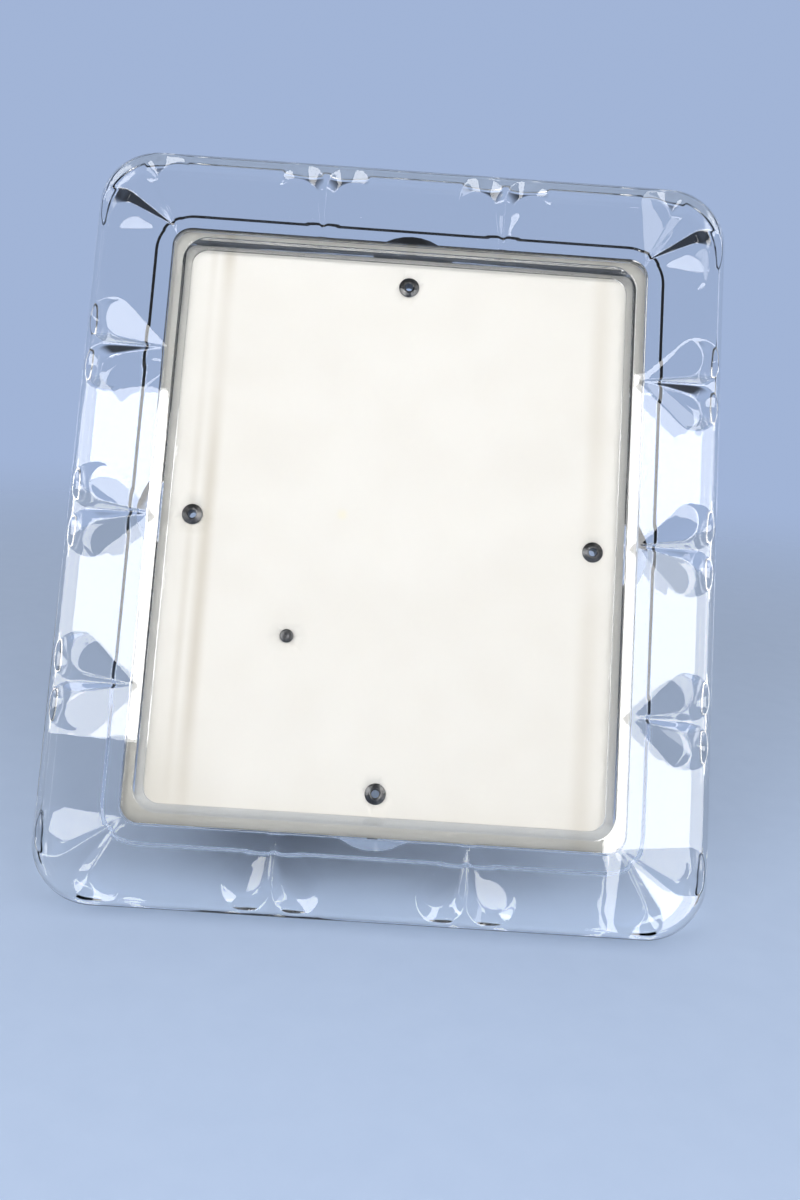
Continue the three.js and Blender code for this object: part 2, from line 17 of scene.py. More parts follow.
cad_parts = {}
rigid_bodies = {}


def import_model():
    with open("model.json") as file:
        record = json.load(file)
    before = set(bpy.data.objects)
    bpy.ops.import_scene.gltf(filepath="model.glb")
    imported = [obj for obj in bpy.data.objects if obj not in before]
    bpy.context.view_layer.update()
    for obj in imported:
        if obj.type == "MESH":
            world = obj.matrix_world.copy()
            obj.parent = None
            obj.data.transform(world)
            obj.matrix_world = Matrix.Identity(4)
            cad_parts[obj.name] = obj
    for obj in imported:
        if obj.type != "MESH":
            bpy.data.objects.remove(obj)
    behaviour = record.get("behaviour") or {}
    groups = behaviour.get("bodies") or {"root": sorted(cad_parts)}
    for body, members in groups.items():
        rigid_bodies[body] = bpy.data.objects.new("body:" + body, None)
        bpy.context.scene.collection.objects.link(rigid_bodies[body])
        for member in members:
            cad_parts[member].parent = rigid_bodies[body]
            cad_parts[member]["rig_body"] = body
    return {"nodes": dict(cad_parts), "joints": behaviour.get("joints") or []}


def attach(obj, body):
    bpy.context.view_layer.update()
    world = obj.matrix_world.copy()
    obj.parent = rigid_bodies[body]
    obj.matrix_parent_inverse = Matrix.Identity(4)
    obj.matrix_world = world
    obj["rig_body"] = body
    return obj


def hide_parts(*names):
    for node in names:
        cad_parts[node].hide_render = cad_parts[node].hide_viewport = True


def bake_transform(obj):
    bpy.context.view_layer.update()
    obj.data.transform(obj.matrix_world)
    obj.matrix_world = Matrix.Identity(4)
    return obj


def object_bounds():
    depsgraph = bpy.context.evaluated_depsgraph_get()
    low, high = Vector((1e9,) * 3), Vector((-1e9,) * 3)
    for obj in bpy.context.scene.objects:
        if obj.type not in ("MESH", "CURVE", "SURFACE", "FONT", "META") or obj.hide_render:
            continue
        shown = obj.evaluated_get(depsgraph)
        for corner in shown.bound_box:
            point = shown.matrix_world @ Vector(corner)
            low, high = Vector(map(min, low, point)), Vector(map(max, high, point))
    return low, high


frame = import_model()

CAD_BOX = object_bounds()
MM = 0.001
joints = {joint["name"]: joint for joint in frame["joints"]}

# %% [markdown]
# ## Axes of the picture
# The model leans back on its leg, but its pieces are easier to draw lying flat: x to the right,
# y up the picture, z towards the viewer and z = 0 at the border's back. The joints of the turn
# buttons give these axes, because the buttons turn about lines square to the board.

# %% The picture's own axes
places = {name: Vector(joint["pos_m"]) for name, joint in joints.items()}
hinge_place = places.pop("leg_hinge")
front = Vector(joints["button_top_turn"]["axis"]).normalized()
up = (places["button_top_turn"] - places["button_bottom_turn"]).normalized()
right = up.cross(front)
centre = (places["button_top_turn"] + places["button_bottom_turn"]) / 2
back_plane = min(vertex.co.dot(front) for vertex in frame["nodes"]["crystal_frame"].data.vertices)
centre += front * (back_plane - centre.dot(front))


def axes_at(origin, x, y, z):
    """The matrix that takes points drawn in some axes to their place in the model."""
    return Matrix.Translation(origin) @ Matrix((x, y, z)).transposed().to_4x4()


def node_points(node, axes):
    """A node's points in some axes, in millimetres."""
    inverse = axes.inverted()
    return np.array([inverse @ vertex.co for vertex in frame["nodes"][node].data.vertices]) / MM


stand = axes_at(centre, right, up, front)
lay_flat = stand.inverted()


def box_of(node, axes=stand):
    """A node's lowest and highest corner in the picture's axes or others, in millimetres."""
    points = node_points(node, axes)
    return points.min(0), points.max(0)


def heights_of(node):
    """How far a node's back and front lie from the border's back, in millimetres."""
    return [corner[2] for corner in box_of(node)]


pivots = {name.split("_")[1]: lay_flat @ place / MM for name, place in places.items()}
lean = math.degrees(math.asin(front.z))
print("lean", round(lean, 2), "border", np.round(box_of("crystal_frame")[1], 2))

# %% [markdown]
# ## Camera
# The photograph looks slightly down on the frame from a little over half a metre, and is turned
# a few degrees. Its lens and place were worked out from where the frame's edges, its mirror
# image and the rivets lie in the picture.

# %% The camera at the photograph's viewing angle
CAMERA_PLACE = (-0.0024, -0.5390, 0.2488)
CAMERA_TURN = (77.574, -3.961, 0.049)
LENS_MM = 36.72
FILM_HEIGHT_MM = 36.0


def placed(name, data):
    """A new object in the scene."""
    item = bpy.data.objects.new(name, data)
    bpy.context.scene.collection.objects.link(item)
    return item


camera = placed("camera", bpy.data.cameras.new("camera"))
camera.data.sensor_fit = "VERTICAL"
camera.data.sensor_height = FILM_HEIGHT_MM
camera.data.lens = LENS_MM
camera.location = CAMERA_PLACE
camera.rotation_euler = Euler([math.radians(angle) for angle in CAMERA_TURN], "XYZ")
bpy.context.scene.camera = camera
print("camera is", round((camera.location - centre).length, 3), "m from the middle of the frame")

# %% [markdown]
# ## Shader maths
# Nodes are easier to read as sums. A small class wraps a socket and gives it + - *, so that a
# mask can be written as 1 - wear * 0.3. One method makes every other node.


# %% A socket that can be added and multiplied
class Sum:
    """A number in a node tree."""

    def __init__(self, finish, socket):
        self.finish, self.socket = finish, socket

    def maths(self, operation, first, second=0.0):
        node = self.finish.node("ShaderNodeMath", {"operation": operation}, {0: first, 1: second})
        return Sum(self.finish, node.outputs[0])

    def __add__(self, other):
        return self.maths("ADD", self, other)

    def __sub__(self, other):
        return self.maths("SUBTRACT", self, other)

    def __rsub__(self, other):
        return self.maths("SUBTRACT", other, self)

    def __mul__(self, other):
        return self.maths("MULTIPLY", self, other)

    __radd__, __rmul__ = __add__, __mul__

    def power(self, other):
        return self.maths("POWER", self, other)

    def largest(self, other):
        return self.maths("MAXIMUM", self, other)

    def size(self):
        return self.maths("ABSOLUTE", self)


# %% A finish and its nodes
class Finish:
    """A material or a world under construction."""

    def __init__(self, owner):
        self.owner = owner
        owner.use_nodes = True
        owner.node_tree.nodes.clear()

    def node(self, kind, settings=None, sockets=None):
        """Adds a node: first its settings, then the values or links of its sockets."""
        node = self.owner.node_tree.nodes.new(kind)
        for key, value in (settings or {}).items():
            setattr(node, key, value)
        for key, value in (sockets or {}).items():
            self.join(value, node.inputs[key])
        return node

    def join(self, value, socket):
        """Links a socket, or sets its value."""
        if isinstance(value, Sum):
            value = value.socket
        if isinstance(value, bpy.types.NodeSocket):
            self.owner.node_tree.links.new(value, socket)
        else:
            socket.default_value = (*value, 1.0) if socket.type == "RGBA" else value

    def place(self, scale=(1.0, 1.0, 1.0), turn=(0.0, 0.0, 0.0)):
        """The object's own coordinates, turned and scaled."""
        source = self.node("ShaderNodeTexCoord").outputs["Object"]
        return self.node("ShaderNodeMapping", {}, {
            "Vector": source, "Scale": scale, "Rotation": turn}).outputs[0]

    def noise(self, scale, detail=2.0, where=None, roughness=0.5):
        return Sum(self, self.node("ShaderNodeTexNoise", {}, {
            "Scale": scale, "Detail": detail, "Roughness": roughness,
            "Vector": where or self.place()}).outputs["Fac"])

    def spread(self, value, low, high, out_low=0.0, out_high=1.0):
        """Maps a range of values onto another, with smooth ends."""
        return Sum(self, self.node("ShaderNodeMapRange", {"interpolation_type": "SMOOTHSTEP"}, {
            "Value": value, "From Min": low, "From Max": high,
            "To Min": out_low, "To Max": out_high}).outputs[0])

    def mix(self, share, first, second):
        """A colour between two colours."""
        return self.node("ShaderNodeMix", {"data_type": "RGBA"}, {
            0: share, 6: first, 7: second}).outputs[2]

    def blend(self, share, first, second):
        """A shader between two shaders."""
        return self.node("ShaderNodeMixShader", {}, {0: share, 1: first, 2: second}).outputs[0]

    def vector(self, operation, *values):
        """A number worked out from vectors."""
        node = self.node("ShaderNodeVectorMath", {"operation": operation}, dict(enumerate(values)))
        return Sum(self, node.outputs["Value"])

    def along(self, axis):
        """The distance from the window's middle along an axis of the picture, in millimetres."""
        return (self.vector("DOT_PRODUCT", self.place(), tuple(axis)) - centre.dot(axis)) * (1 / MM)

    def bump(self, height, strength, distance):
        return self.node("ShaderNodeBump", {}, {
            "Height": height, "Strength": strength, "Distance": distance}).outputs[0]

    def surface(self, **sockets):
        """The Principled shader, with sockets named by words joined by underscores."""
        named = {key.replace("_", " "): value for key, value in sockets.items()}
        return self.node("ShaderNodeBsdfPrincipled", {}, named).outputs[0]

    def done(self, shader, output="ShaderNodeOutputMaterial"):
        self.node(output, {}, {"Surface": shader})
        return self.owner


def new_finish(name):
    return Finish(bpy.data.materials.new(name))


finishes = {}
print("shader tools ready")

# %% [markdown]
# ## Clear glass
# Crystal has a refractive index near 1.54 and hardly any colour. Pressed glass is never quite
# flat, so a very low, wide wave bends what it mirrors. A shadow ray goes straight through it,
# which lets the lamps reach the paper behind, as they do behind real glass. It is dimmed on its
# way, because some lamp light also gets there by refraction, and it would count twice.

# %% Glass
CRYSTAL_INDEX = 1.54
PANE_INDEX = 1.5


def clear_glass(name, index, wave_height, tint, shadow):
    finish = new_finish(name)
    wave = finish.noise(22.0)
    ripple = finish.noise(90.0, 1.0)
    smears = finish.spread(finish.noise(35.0, 4.0, roughness=0.65), 0.55, 0.8, 0.0, 0.02)
    glass = finish.surface(
        Base_Color=tint, Roughness=smears, IOR=index, Transmission_Weight=1.0,
        Normal=finish.bump(wave * 0.8 + ripple * 0.2, 0.35, wave_height))
    clear = finish.node("ShaderNodeBsdfTransparent", {}, {"Color": shadow}).outputs[0]
    shadow_ray = finish.node("ShaderNodeLightPath").outputs["Is Shadow Ray"]
    return finish.done(finish.blend(shadow_ray, glass, clear))


finishes["crystal"] = clear_glass(
    "crystal_glass", CRYSTAL_INDEX, 0.0004, (0.998, 1.0, 1.0), (0.72, 0.73, 0.73))
finishes["window_glass"] = clear_glass(
    "pane_glass", PANE_INDEX, 0.0001, (0.998, 1.0, 0.998), (0.66, 0.66, 0.66))
print("finishes", list(finishes))

# %% [markdown]
# ## The crystal border
# The border was pressed in a mould: its front is a height field, where fourteen hearts sink into
# a smooth face. Cutting them with booleans would leave knife edges, but molten glass rounds
# every edge. So the mesh is woven from rings that run round the border, and the height of each
# of its points comes from a formula.

# %% Sizes of the border, in millimetres
BOARD_CLEARANCE = 0.8
SEAT_GAP = 0.3
border_high = box_of("crystal_frame")[1]
board_high = box_of("board_core")[1]
pane_high = box_of("glass_pane")[1]
HALF = border_high[:2]
DEPTH = border_high[2]
OUTER_RADIUS = 26.5
BORDER = 44.0
SIGHT = HALF - BORDER
SIGHT_RADIUS = 7.0
SIGHT_RUN = 3.8
SIGHT_ARRIS = 0.9
LIP_BACK = pane_high[2] + SEAT_GAP
REBATE = board_high[:2] + BOARD_CLEARANCE
REBATE_RADIUS = 8.8
LEDGE = 7.5
LEDGE_DEPTH = 2.0
LEDGE_RADIUS = 16.0
LEDGE_DRAFT = 1.6
EDGE_ROUND = 3.0
BACK_ARRIS = 0.8
LIP_ARRIS = 0.4
LEDGE_ARRIS = 0.5
LEDGE_FILLET = 0.6
print("border", np.round(HALF * 2, 1), "depth", round(DEPTH, 2), "lip's back", round(LIP_BACK, 2))

# %% [markdown]
# A heart is two lobes, and a lobe's outline is a drop: a point at the heart's tip joined to a
# round end. One formula gives the distance to it, which all the slopes are drawn from.


# %% A drop's outline
def drop_distance(x, y, centre_x, centre_y, radius):
    """The distance outside a drop, which is a point at the origin joined to a circle."""
    length = math.hypot(centre_x, centre_y)
    cosine, sine = centre_x / length, centre_y / length
    along, across = x * cosine + y * sine, np.abs(y * cosine - x * sine)
    half = math.asin(radius / length)
    on_side = along * math.cos(half) + across * math.sin(half) < length * math.cos(half)
    side = across * math.cos(half) - along * math.sin(half)
    return np.where(on_side, side, np.hypot(along - length, across) - radius)


# %% [markdown]
# In each lobe lies a leaf, a smaller drop that is nearly flat and slopes down towards the heart's
# axis. Round the leaf the floor climbs again, in a wall that is narrow beside the leaf and broad
# at the round end. The wall mirrors other things than the leaf does, which draws the bright
# hooks of the photograph.

# %% One lobe of a heart
TIP_INSET = 36.8
EDGE_LOBE = {"radius": 10.3, "reach": 37.8, "spread": 22.8}
CORNER_LOBE = {"radius": 10.0, "reach": 38.5, "spread": 30.0}
LEAF_REACH = 23.3
LEAF_RADIUS = 8.8
LEAF_TURN = 12.7
LEAF_SLOPE = 0.15
LEAF_SAG = 0.003
WALL_SLOPE = 0.7
WALL_CURVE = 1.15
NARROWEST_WALL = 0.5
VALLEY_MELT = 0.25
TINY = 0.01


def soft_min(a, b, width):
    """The lesser of two heights, rounded where they cross."""
    share = np.clip(0.5 + 0.5 * (b - a) / width, 0, 1)
    return b * (1 - share) + a * share - width * share * (1 - share)


def lobe_parts(lobe):
    """The centre of a lobe's round end, the angle of its straight edge, and its leaf's centre."""
    run = lobe["reach"] - lobe["radius"]
    turn = math.radians(lobe["spread"])
    edge = turn + math.asin(lobe["radius"] / run)
    leaf_turn = edge - math.radians(LEAF_TURN)
    end = (run * math.cos(turn), run * math.sin(turn))
    return end, edge, (LEAF_REACH * math.cos(leaf_turn), LEAF_REACH * math.sin(leaf_turn))


def lobe_height(x, y, face, lobe):
    """The height of a lobe's floor, for points measured along and away from the heart's axis."""
    end, edge, leaf = lobe_parts(lobe)
    beyond_leaf = drop_distance(x, y, *leaf, LEAF_RADIUS)
    inside = -drop_distance(x, y, *end, lobe["radius"])

    away = np.hypot(x - leaf[0], y - leaf[1])
    pull = np.clip(beyond_leaf / np.maximum(away, TINY), 0, 1)
    foot_x, foot_y = x - (x - leaf[0]) * pull, y - (y - leaf[1]) * pull
    from_edge = foot_x * math.sin(edge) - foot_y * math.cos(edge)
    floor = -LEAF_SLOPE * from_edge - LEAF_SAG * from_edge * np.abs(from_edge)

    climb = np.maximum(beyond_leaf, 0) / np.maximum(beyond_leaf + inside, NARROWEST_WALL)
    floor = floor + (face - floor) * climb ** WALL_CURVE
    return -soft_min(-floor, WALL_SLOPE * inside - face, VALLEY_MELT)


for along, across in ((10.0, 3.0), (20.0, 4.0), (25.0, 6.0), (30.0, 10.0)):
    probe = lobe_height(np.array([along]), np.array([across]), np.zeros(1), EDGE_LOBE)[0]
    print("lobe's floor", along, "mm along and", across, "mm off the axis:", round(probe, 2))

# %% [markdown]
# Three hearts lie along each side, two along each end and one in each corner, and all point
# outwards. Pressing one takes the lesser of the face's height and the lobe's. A soft minimum
# rounds the edge between them, and it fades out a little way off, so the face stays truly flat.

# %% Fourteen hearts, pressed into points of the border
SIDE_HEARTS = (-75.5, 0.0, 75.5)
END_HEARTS = (-41.0, 41.0)
EDGE_MELT = 0.28
MARGIN = 2.3
MARGIN_FADE = 0.5
FRONT_BELOW_FACE = 9.0


def hearts():
    """Every heart's tip, its direction in degrees, and its kind of lobe."""
    tip = HALF - TIP_INSET
    for y in SIDE_HEARTS:
        yield (tip[0], y), 0, EDGE_LOBE
        yield (-tip[0], y), 180, EDGE_LOBE
    for x in END_HEARTS:
        yield (x, tip[1]), 90, EDGE_LOBE
        yield (x, -tip[1]), 270, EDGE_LOBE
    for turn, signs in ((45, (1, 1)), (135, (-1, 1)), (225, (-1, -1)), (315, (1, -1))):
        yield tip * signs, turn, CORNER_LOBE


def lobes(x, y):
    """For every lobe: points along and off its heart's axis, how far outside they are, its kind."""
    for tip, turn, lobe in hearts():
        cosine, sine = math.cos(math.radians(turn)), math.sin(math.radians(turn))
        along = (x - tip[0]) * cosine + (y - tip[1]) * sine
        across = (y - tip[1]) * cosine - (x - tip[0]) * sine
        for off in (-across, across):
            yield along, off, drop_distance(along, off, *lobe_parts(lobe)[0], lobe["radius"]), lobe


def pressed(points):
    """Presses the hearts into points of the border's front."""
    x, y, z = points.T
    face = z - DEPTH
    height = face.copy()
    for along, off, gap, lobe in lobes(x, y):
        near = (gap < MARGIN) & (face > -FRONT_BELOW_FACE)
        floor = lobe_height(along[near], off[near], face[near], lobe)
        fade = np.clip((MARGIN - gap[near]) / MARGIN_FADE, 0, 1)
        height[near] += (soft_min(height[near], floor, EDGE_MELT) - height[near]) * fade
    return np.column_stack((x, y, height + DEPTH))


print("hearts", len(list(hearts())))

# %% [markdown]
# A section through the border gives its rings. The section is a closed line with rounded
# corners, and each of its points becomes one ring: a rectangle with rounded corners, drawn with
# the same number of points each time, so that neighbouring rings join into quads. Extra points
# close to each rounded corner keep the flat stretches flat under smooth shading.


# %% The line of a section
def rounded(corners, support=0.25):
    """Rounds the corners of an open line of (inset, height, ring radius).

    A corner is (point, radius, steps, extra), and extra rows follow on the straight after it.
    """
    ends = [np.array(corner[0], float) for corner in corners]
    line = [ends[0]]
    extra = corners[0][3]
    for before, corner, after, facts in zip(ends, ends[1:], ends[2:], corners[1:]):
        radius, steps = facts[1:3]
        back, ahead = ((end - corner) / math.hypot(*(end - corner)[:2]) for end in (before, after))
        half_angle = math.acos(np.dot(back[:2], ahead[:2])) / 2
        cut = radius / math.tan(half_angle)
        bisector = (back + ahead)[:2]
        middle = corner[:2] + bisector / math.hypot(*bisector) * radius / math.sin(half_angle)
        start, stop = corner + back * cut, corner + ahead * cut
        sweep = math.pi - 2 * half_angle
        last, first = line[-1], corner + back * (cut + support)
        line += [last + (first - last) * (i + 1) / (extra + 1) for i in range(extra + 1)]
        for share in (i / steps for i in range(steps + 1)):
            point = start * (1 - share) + stop * share
            point[:2] = middle + (math.sin((1 - share) * sweep) * (start[:2] - middle)
                                  + math.sin(share * sweep) * (stop[:2] - middle)) / math.sin(sweep)
            line.append(point)
        line.append(corner + ahead * (cut + support))
        extra = facts[3]
    return line + [ends[-1]]


# %% The points of a ring
HEART_REACH = 27.0
SIDE_POINTS = 136
END_POINTS = 112
CORNER_POINTS = 26
SPARSE = 0.8
FINE_STEPS = 4001


def spaced(length, centres, count):
    """Shares of a straight from -1 to 1, closer together near the hearts."""
    shares = np.linspace(-1, 1, FINE_STEPS)
    gap = np.min([np.abs(shares * length - centre) for centre in centres], axis=0)
    weights = np.where(gap < HEART_REACH, 1.0, SPARSE)
    total = np.concatenate(([0], np.cumsum((weights[1:] + weights[:-1]) / 2)))
    return np.interp(np.arange(count) / count, total / total[-1], shares)


def ring_samples():
    """Each ring point's share of the way along its side and end, and its angle."""
    straight = HALF - OUTER_RADIUS
    side = spaced(straight[1], (*SIDE_HEARTS, -straight[1], straight[1]), SIDE_POINTS)
    end = spaced(straight[0], (*END_HEARTS, -straight[0], straight[0]), END_POINTS)
    arc_turns = np.arange(CORNER_POINTS) / CORNER_POINTS * 90
    u, v, turn = [], [], []
    for quarter, run in enumerate((side, end, side, end)):
        cosine, sine = ((1, 0), (0, 1), (-1, 0), (0, -1))[quarter]
        u += [cosine - run * sine, np.full(CORNER_POINTS, cosine - sine)]
        v += [sine + run * cosine, np.full(CORNER_POINTS, sine + cosine)]
        turn += [np.full(len(run), 90 * quarter), 90 * quarter + arc_turns]
    return np.array([np.concatenate(u), np.concatenate(v), np.radians(np.concatenate(turn))])


def ring(samples, inset, height, radius):
    """A ring at a distance inside the border's outline."""
    u, v, turn = samples
    straight = HALF - inset - radius
    return np.column_stack((straight[0] * u + radius * np.cos(turn),
                            straight[1] * v + radius * np.sin(turn), np.full(len(u), height)))


samples = ring_samples()
print("points in a ring", samples.shape[1])

# %% [markdown]
# The rings inside the rebate only need half of the points of those in front. The two kinds meet
# on the flat back of the lip and on the flat back rim, where uneven faces can't be seen.

# %% The border's section
FACE_ROWS = 16
GROOVE_CLEARANCE = 0.6
GROOVE_LIP = 0.1
FINE_ON_LIP = 2.0
COARSE_ON_LIP = 1.5
COARSE_ON_RIM = 1.0
rebate_inset = HALF[0] - REBATE[0]
ledge_inset = rebate_inset - LEDGE
rim_inset = ledge_inset - LEDGE_DRAFT
rim_radius = LEDGE_RADIUS + LEDGE_DRAFT
button_low, button_high = heights_of("turn_button_top")
groove_low = button_low - GROOVE_CLEARANCE
groove_high = button_high + GROOVE_CLEARANCE

front_section = rounded([
    ((BACK_ARRIS * 2, 0.0, OUTER_RADIUS - BACK_ARRIS * 2), 0, 0, 0),
    ((0.0, 0.0, OUTER_RADIUS), BACK_ARRIS, 2, 0),
    ((0.0, DEPTH, OUTER_RADIUS), EDGE_ROUND, 6, FACE_ROWS),
    ((BORDER - SIGHT_RUN, DEPTH, SIGHT_RADIUS + SIGHT_RUN), SIGHT_ARRIS, 4, 0),
    ((BORDER, LIP_BACK, SIGHT_RADIUS), LIP_ARRIS, 2, 0),
    ((BORDER - FINE_ON_LIP, LIP_BACK, SIGHT_RADIUS + 1.0), 0, 0, 0),
])
lip_section = rounded([
    ((rebate_inset + COARSE_ON_LIP, LIP_BACK, REBATE_RADIUS - 1.0), 0, 0, 0),
    ((rebate_inset, LIP_BACK, REBATE_RADIUS), LIP_ARRIS, 2, 0),
    ((rebate_inset, groove_high + GROOVE_LIP, REBATE_RADIUS), 0, 0, 0),
])
ledge_section = rounded([
    ((rebate_inset, groove_low - GROOVE_LIP, REBATE_RADIUS), 0, 0, 0),
    ((rebate_inset, LEDGE_DEPTH, REBATE_RADIUS), LEDGE_FILLET, 4, 0),
    ((ledge_inset, LEDGE_DEPTH, LEDGE_RADIUS), LEDGE_ARRIS, 4, 0),
    ((rim_inset, 0.0, rim_radius), LEDGE_ARRIS, 4, 0),
    ((rim_inset - COARSE_ON_RIM, 0.0, rim_radius), 0, 0, 0),
])
print("rings", len(front_section), "+", len(lip_section) + 2 + len(ledge_section))

# %% Grooves for the turn buttons
# Each button's arm swings into a shallow curved groove in the rebate's wall.
button_reach = box_of("turn_button_top")[1][1] - pivots["top"].y
GROOVE_REACH = button_reach + 1.0


def grooved(points):
    """Moves points of the rebate's wall out to the grooves."""
    points = points.copy()
    for pivot in pivots.values():
        axis = int(abs(pivot.y) > abs(pivot.x))
        sign = math.copysign(1, pivot[axis])
        aside = points[:, 1 - axis] - pivot[1 - axis]
        wall = REBATE[axis] - abs(pivot[axis])
        depth = np.sqrt(np.maximum(GROOVE_REACH ** 2 - aside ** 2, 0)) - wall
        hit = (depth > 0) & (np.abs(points[:, axis] * sign - REBATE[axis]) < TINY)
        points[hit, axis] += sign * depth[hit]
    return points


print("button reach", round(button_reach, 2), "pivots", list(pivots))


# %% Weaving the rings together
def strip(low, high, count, closed=True):
    """Quads between two rows of points, which start at low and at high."""
    return [(low + i, low + (i + 1) % count, high + (i + 1) % count, high + i)
            for i in range(count if closed else count - 1)]


def woven(fine_rings, coarse_rings):
    """Points and faces of a closed border whose coarse rings have half of the points."""
    rings = [*fine_rings, *coarse_rings]
    starts = np.cumsum([0] + [len(one) for one in rings]).tolist()
    faces = []
    for i, (one, after) in enumerate(zip(rings, rings[1:])):
        if len(one) == len(after):
            faces += strip(starts[i], starts[i + 1], len(one))
    fine, coarse = len(rings[0]), len(rings[-1])
    seam = len(fine_rings)
    for outer, inner, flip in ((starts[seam - 1], starts[seam], 1), (0, starts[-2], -1)):
        for i in range(coarse):
            edge = [outer + (i * 2 + k) % fine for k in range(3)]
            faces.append((*edge, inner + (i + 1) % coarse, inner + i)[::flip])
    return np.concatenate(rings), faces


# %% A piece from points and faces
def make_piece(name, node, slot, points, faces, axes, smooth=True, rides=True):
    """A mesh in place of a node, from points in millimetres in some axes, on the node's body."""
    mesh = bpy.data.meshes.new(name)
    mesh.from_pydata([axes @ (Vector(point) * MM) for point in points], [], faces)
    mesh.update()
    mesh.materials.append(finishes[slot])
    if smooth:
        mesh.shade_smooth()
    piece = placed(name, mesh)
    if rides:
        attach(piece, frame["nodes"][node]["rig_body"])
    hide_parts(node)
    return piece


half_samples = samples[:, ::2]
groove_rings = [grooved(ring(half_samples, rebate_inset, height, REBATE_RADIUS))
                for height in (groove_high, groove_low)]
border_points, border_faces = woven(
    [ring(samples, *row) for row in front_section],
    [*(ring(half_samples, *row) for row in lip_section), *groove_rings,
     *(ring(half_samples, *row) for row in ledge_section)])
border = make_piece("crystal_border", "crystal_frame", "crystal",
                    border_points, border_faces, stand)
print("plain border:", len(border_faces), "faces")

# %% [markdown]
# So far the border is plain. Only the hearts need a dense mesh, so the faces under them are cut
# into smaller ones first. Then every point of the front is lowered to the height that the
# pressed glass has there.

# %% Pressing the hearts
HEART_CUTS = 2


@contextmanager
def editing(piece):
    """Opens a piece's mesh for changes, and writes them back."""
    work = bmesh.new()
    work.from_mesh(piece.data)
    yield work
    work.to_mesh(piece.data)
    work.free()


def outline_inset(x, y):
    """The distance inside the border's outline, and the outline's direction outward."""
    corner = np.abs(np.column_stack((x, y))) - HALF + OUTER_RADIUS
    at_corner = (corner > 0).all(axis=1)
    furthest = corner.max(axis=1)
    reach = np.where(at_corner, np.hypot(*corner.T), furthest)
    out = np.where(at_corner[:, None], corner / np.maximum(reach, TINY)[:, None],
                   corner == furthest[:, None])
    return OUTER_RADIUS - reach, out * np.sign(np.column_stack((x, y)))


def on_round_edge(points):
    """Moves points between the round edge's rings out to the true curve."""
    inset, out = outline_inset(points[:, 0], points[:, 1])
    section = np.column_stack((inset - EDGE_ROUND, points[:, 2] - DEPTH + EDGE_ROUND))
    curved = (section[:, 0] < 0) & (section[:, 1] > 0)
    lengths = np.hypot(*section.T)
    moved = section * np.where(curved, EDGE_ROUND / np.maximum(lengths, TINY), 1)[:, None]
    shift = moved - section
    return points + np.column_stack((-out * shift[:, :1], shift[:, 1]))


def turned_by(matrix, points):
    turn = np.array(matrix)
    return points @ turn[:3, :3].T + turn[:3, 3]


def points_of(piece):
    """A piece's points in the picture's axes, in millimetres."""
    flat = np.empty(len(piece.data.vertices) * 3)
    piece.data.vertices.foreach_get("co", flat)
    return turned_by(lay_flat, flat.reshape(-1, 3)) / MM


x, y, z = points_of(border).T
under_hearts = np.any([gap < MARGIN for _, _, gap, _ in lobes(x, y)], axis=0)
under_hearts &= z > DEPTH - EDGE_ROUND - 1
with editing(border) as work:
    work.verts.ensure_lookup_table()
    chosen = {edge for face in work.faces for edge in face.edges
              if any(under_hearts[vertex.index] for vertex in face.verts)}
    bmesh.ops.subdivide_edges(work, edges=list(chosen), cuts=HEART_CUTS, use_grid_fill=True)
border.data.shade_smooth()
hollowed = pressed(on_round_edge(points_of(border)))
border.data.vertices.foreach_set("co", turned_by(stand, hollowed * MM).ravel())
border.data.update()
triangles = sum(len(face.vertices) - 2 for face in border.data.polygons)
print("crystal border:", triangles, "triangles")

# %% [markdown]
# ## Papers and card
# The board's face is ivory paper, a little mottled, with fibres that catch the light. The core
# is grey board, and its cut edge shows through the glass as fine layers. All of them are rough
# surfaces whose colour varies by a few hundredths, so they are made from noise at two scales.
# Painted shade lies on the paper: faint streaks along its sides, a darker lower left corner and a
# greyer margin under the lip. It also has one small stain.

# %% Paper and board finishes
# Streaks of painted shade on the paper, as (across, half width, strength).
SHADE_STREAKS = ((-90.0, 3.0, 0.45), (-83.0, 5.0, 0.85), (89.0, 7.0, 0.45))
SPOT = (-23.0, 7.0)
FIBRES = 1500.0
PLIES = 2600.0


# A paper's tone can be given painted shade and a stain by a function passed in last.
def paper(name, light, dark, shade_and_stain=None):
    finish = new_finish(name)
    mottle = finish.spread(finish.noise(45.0, 4.0), 0.35, 0.7)
    cloud = finish.spread(finish.noise(9.0), 0.3, 0.7)
    fibres = finish.noise(FIBRES, 3.0, finish.place((1.0, 1.0, 0.35)))
    tone = finish.mix(mottle * 0.5 + cloud * 0.5, light, dark)
    return finish.done(finish.surface(
        Base_Color=shade_and_stain(finish, tone) if shade_and_stain else tone,
        Roughness=0.7 + fibres * 0.2, Specular_IOR_Level=0.3,
        Normal=finish.bump(fibres * 0.6 + mottle * 0.4, 0.25, 0.0001)))


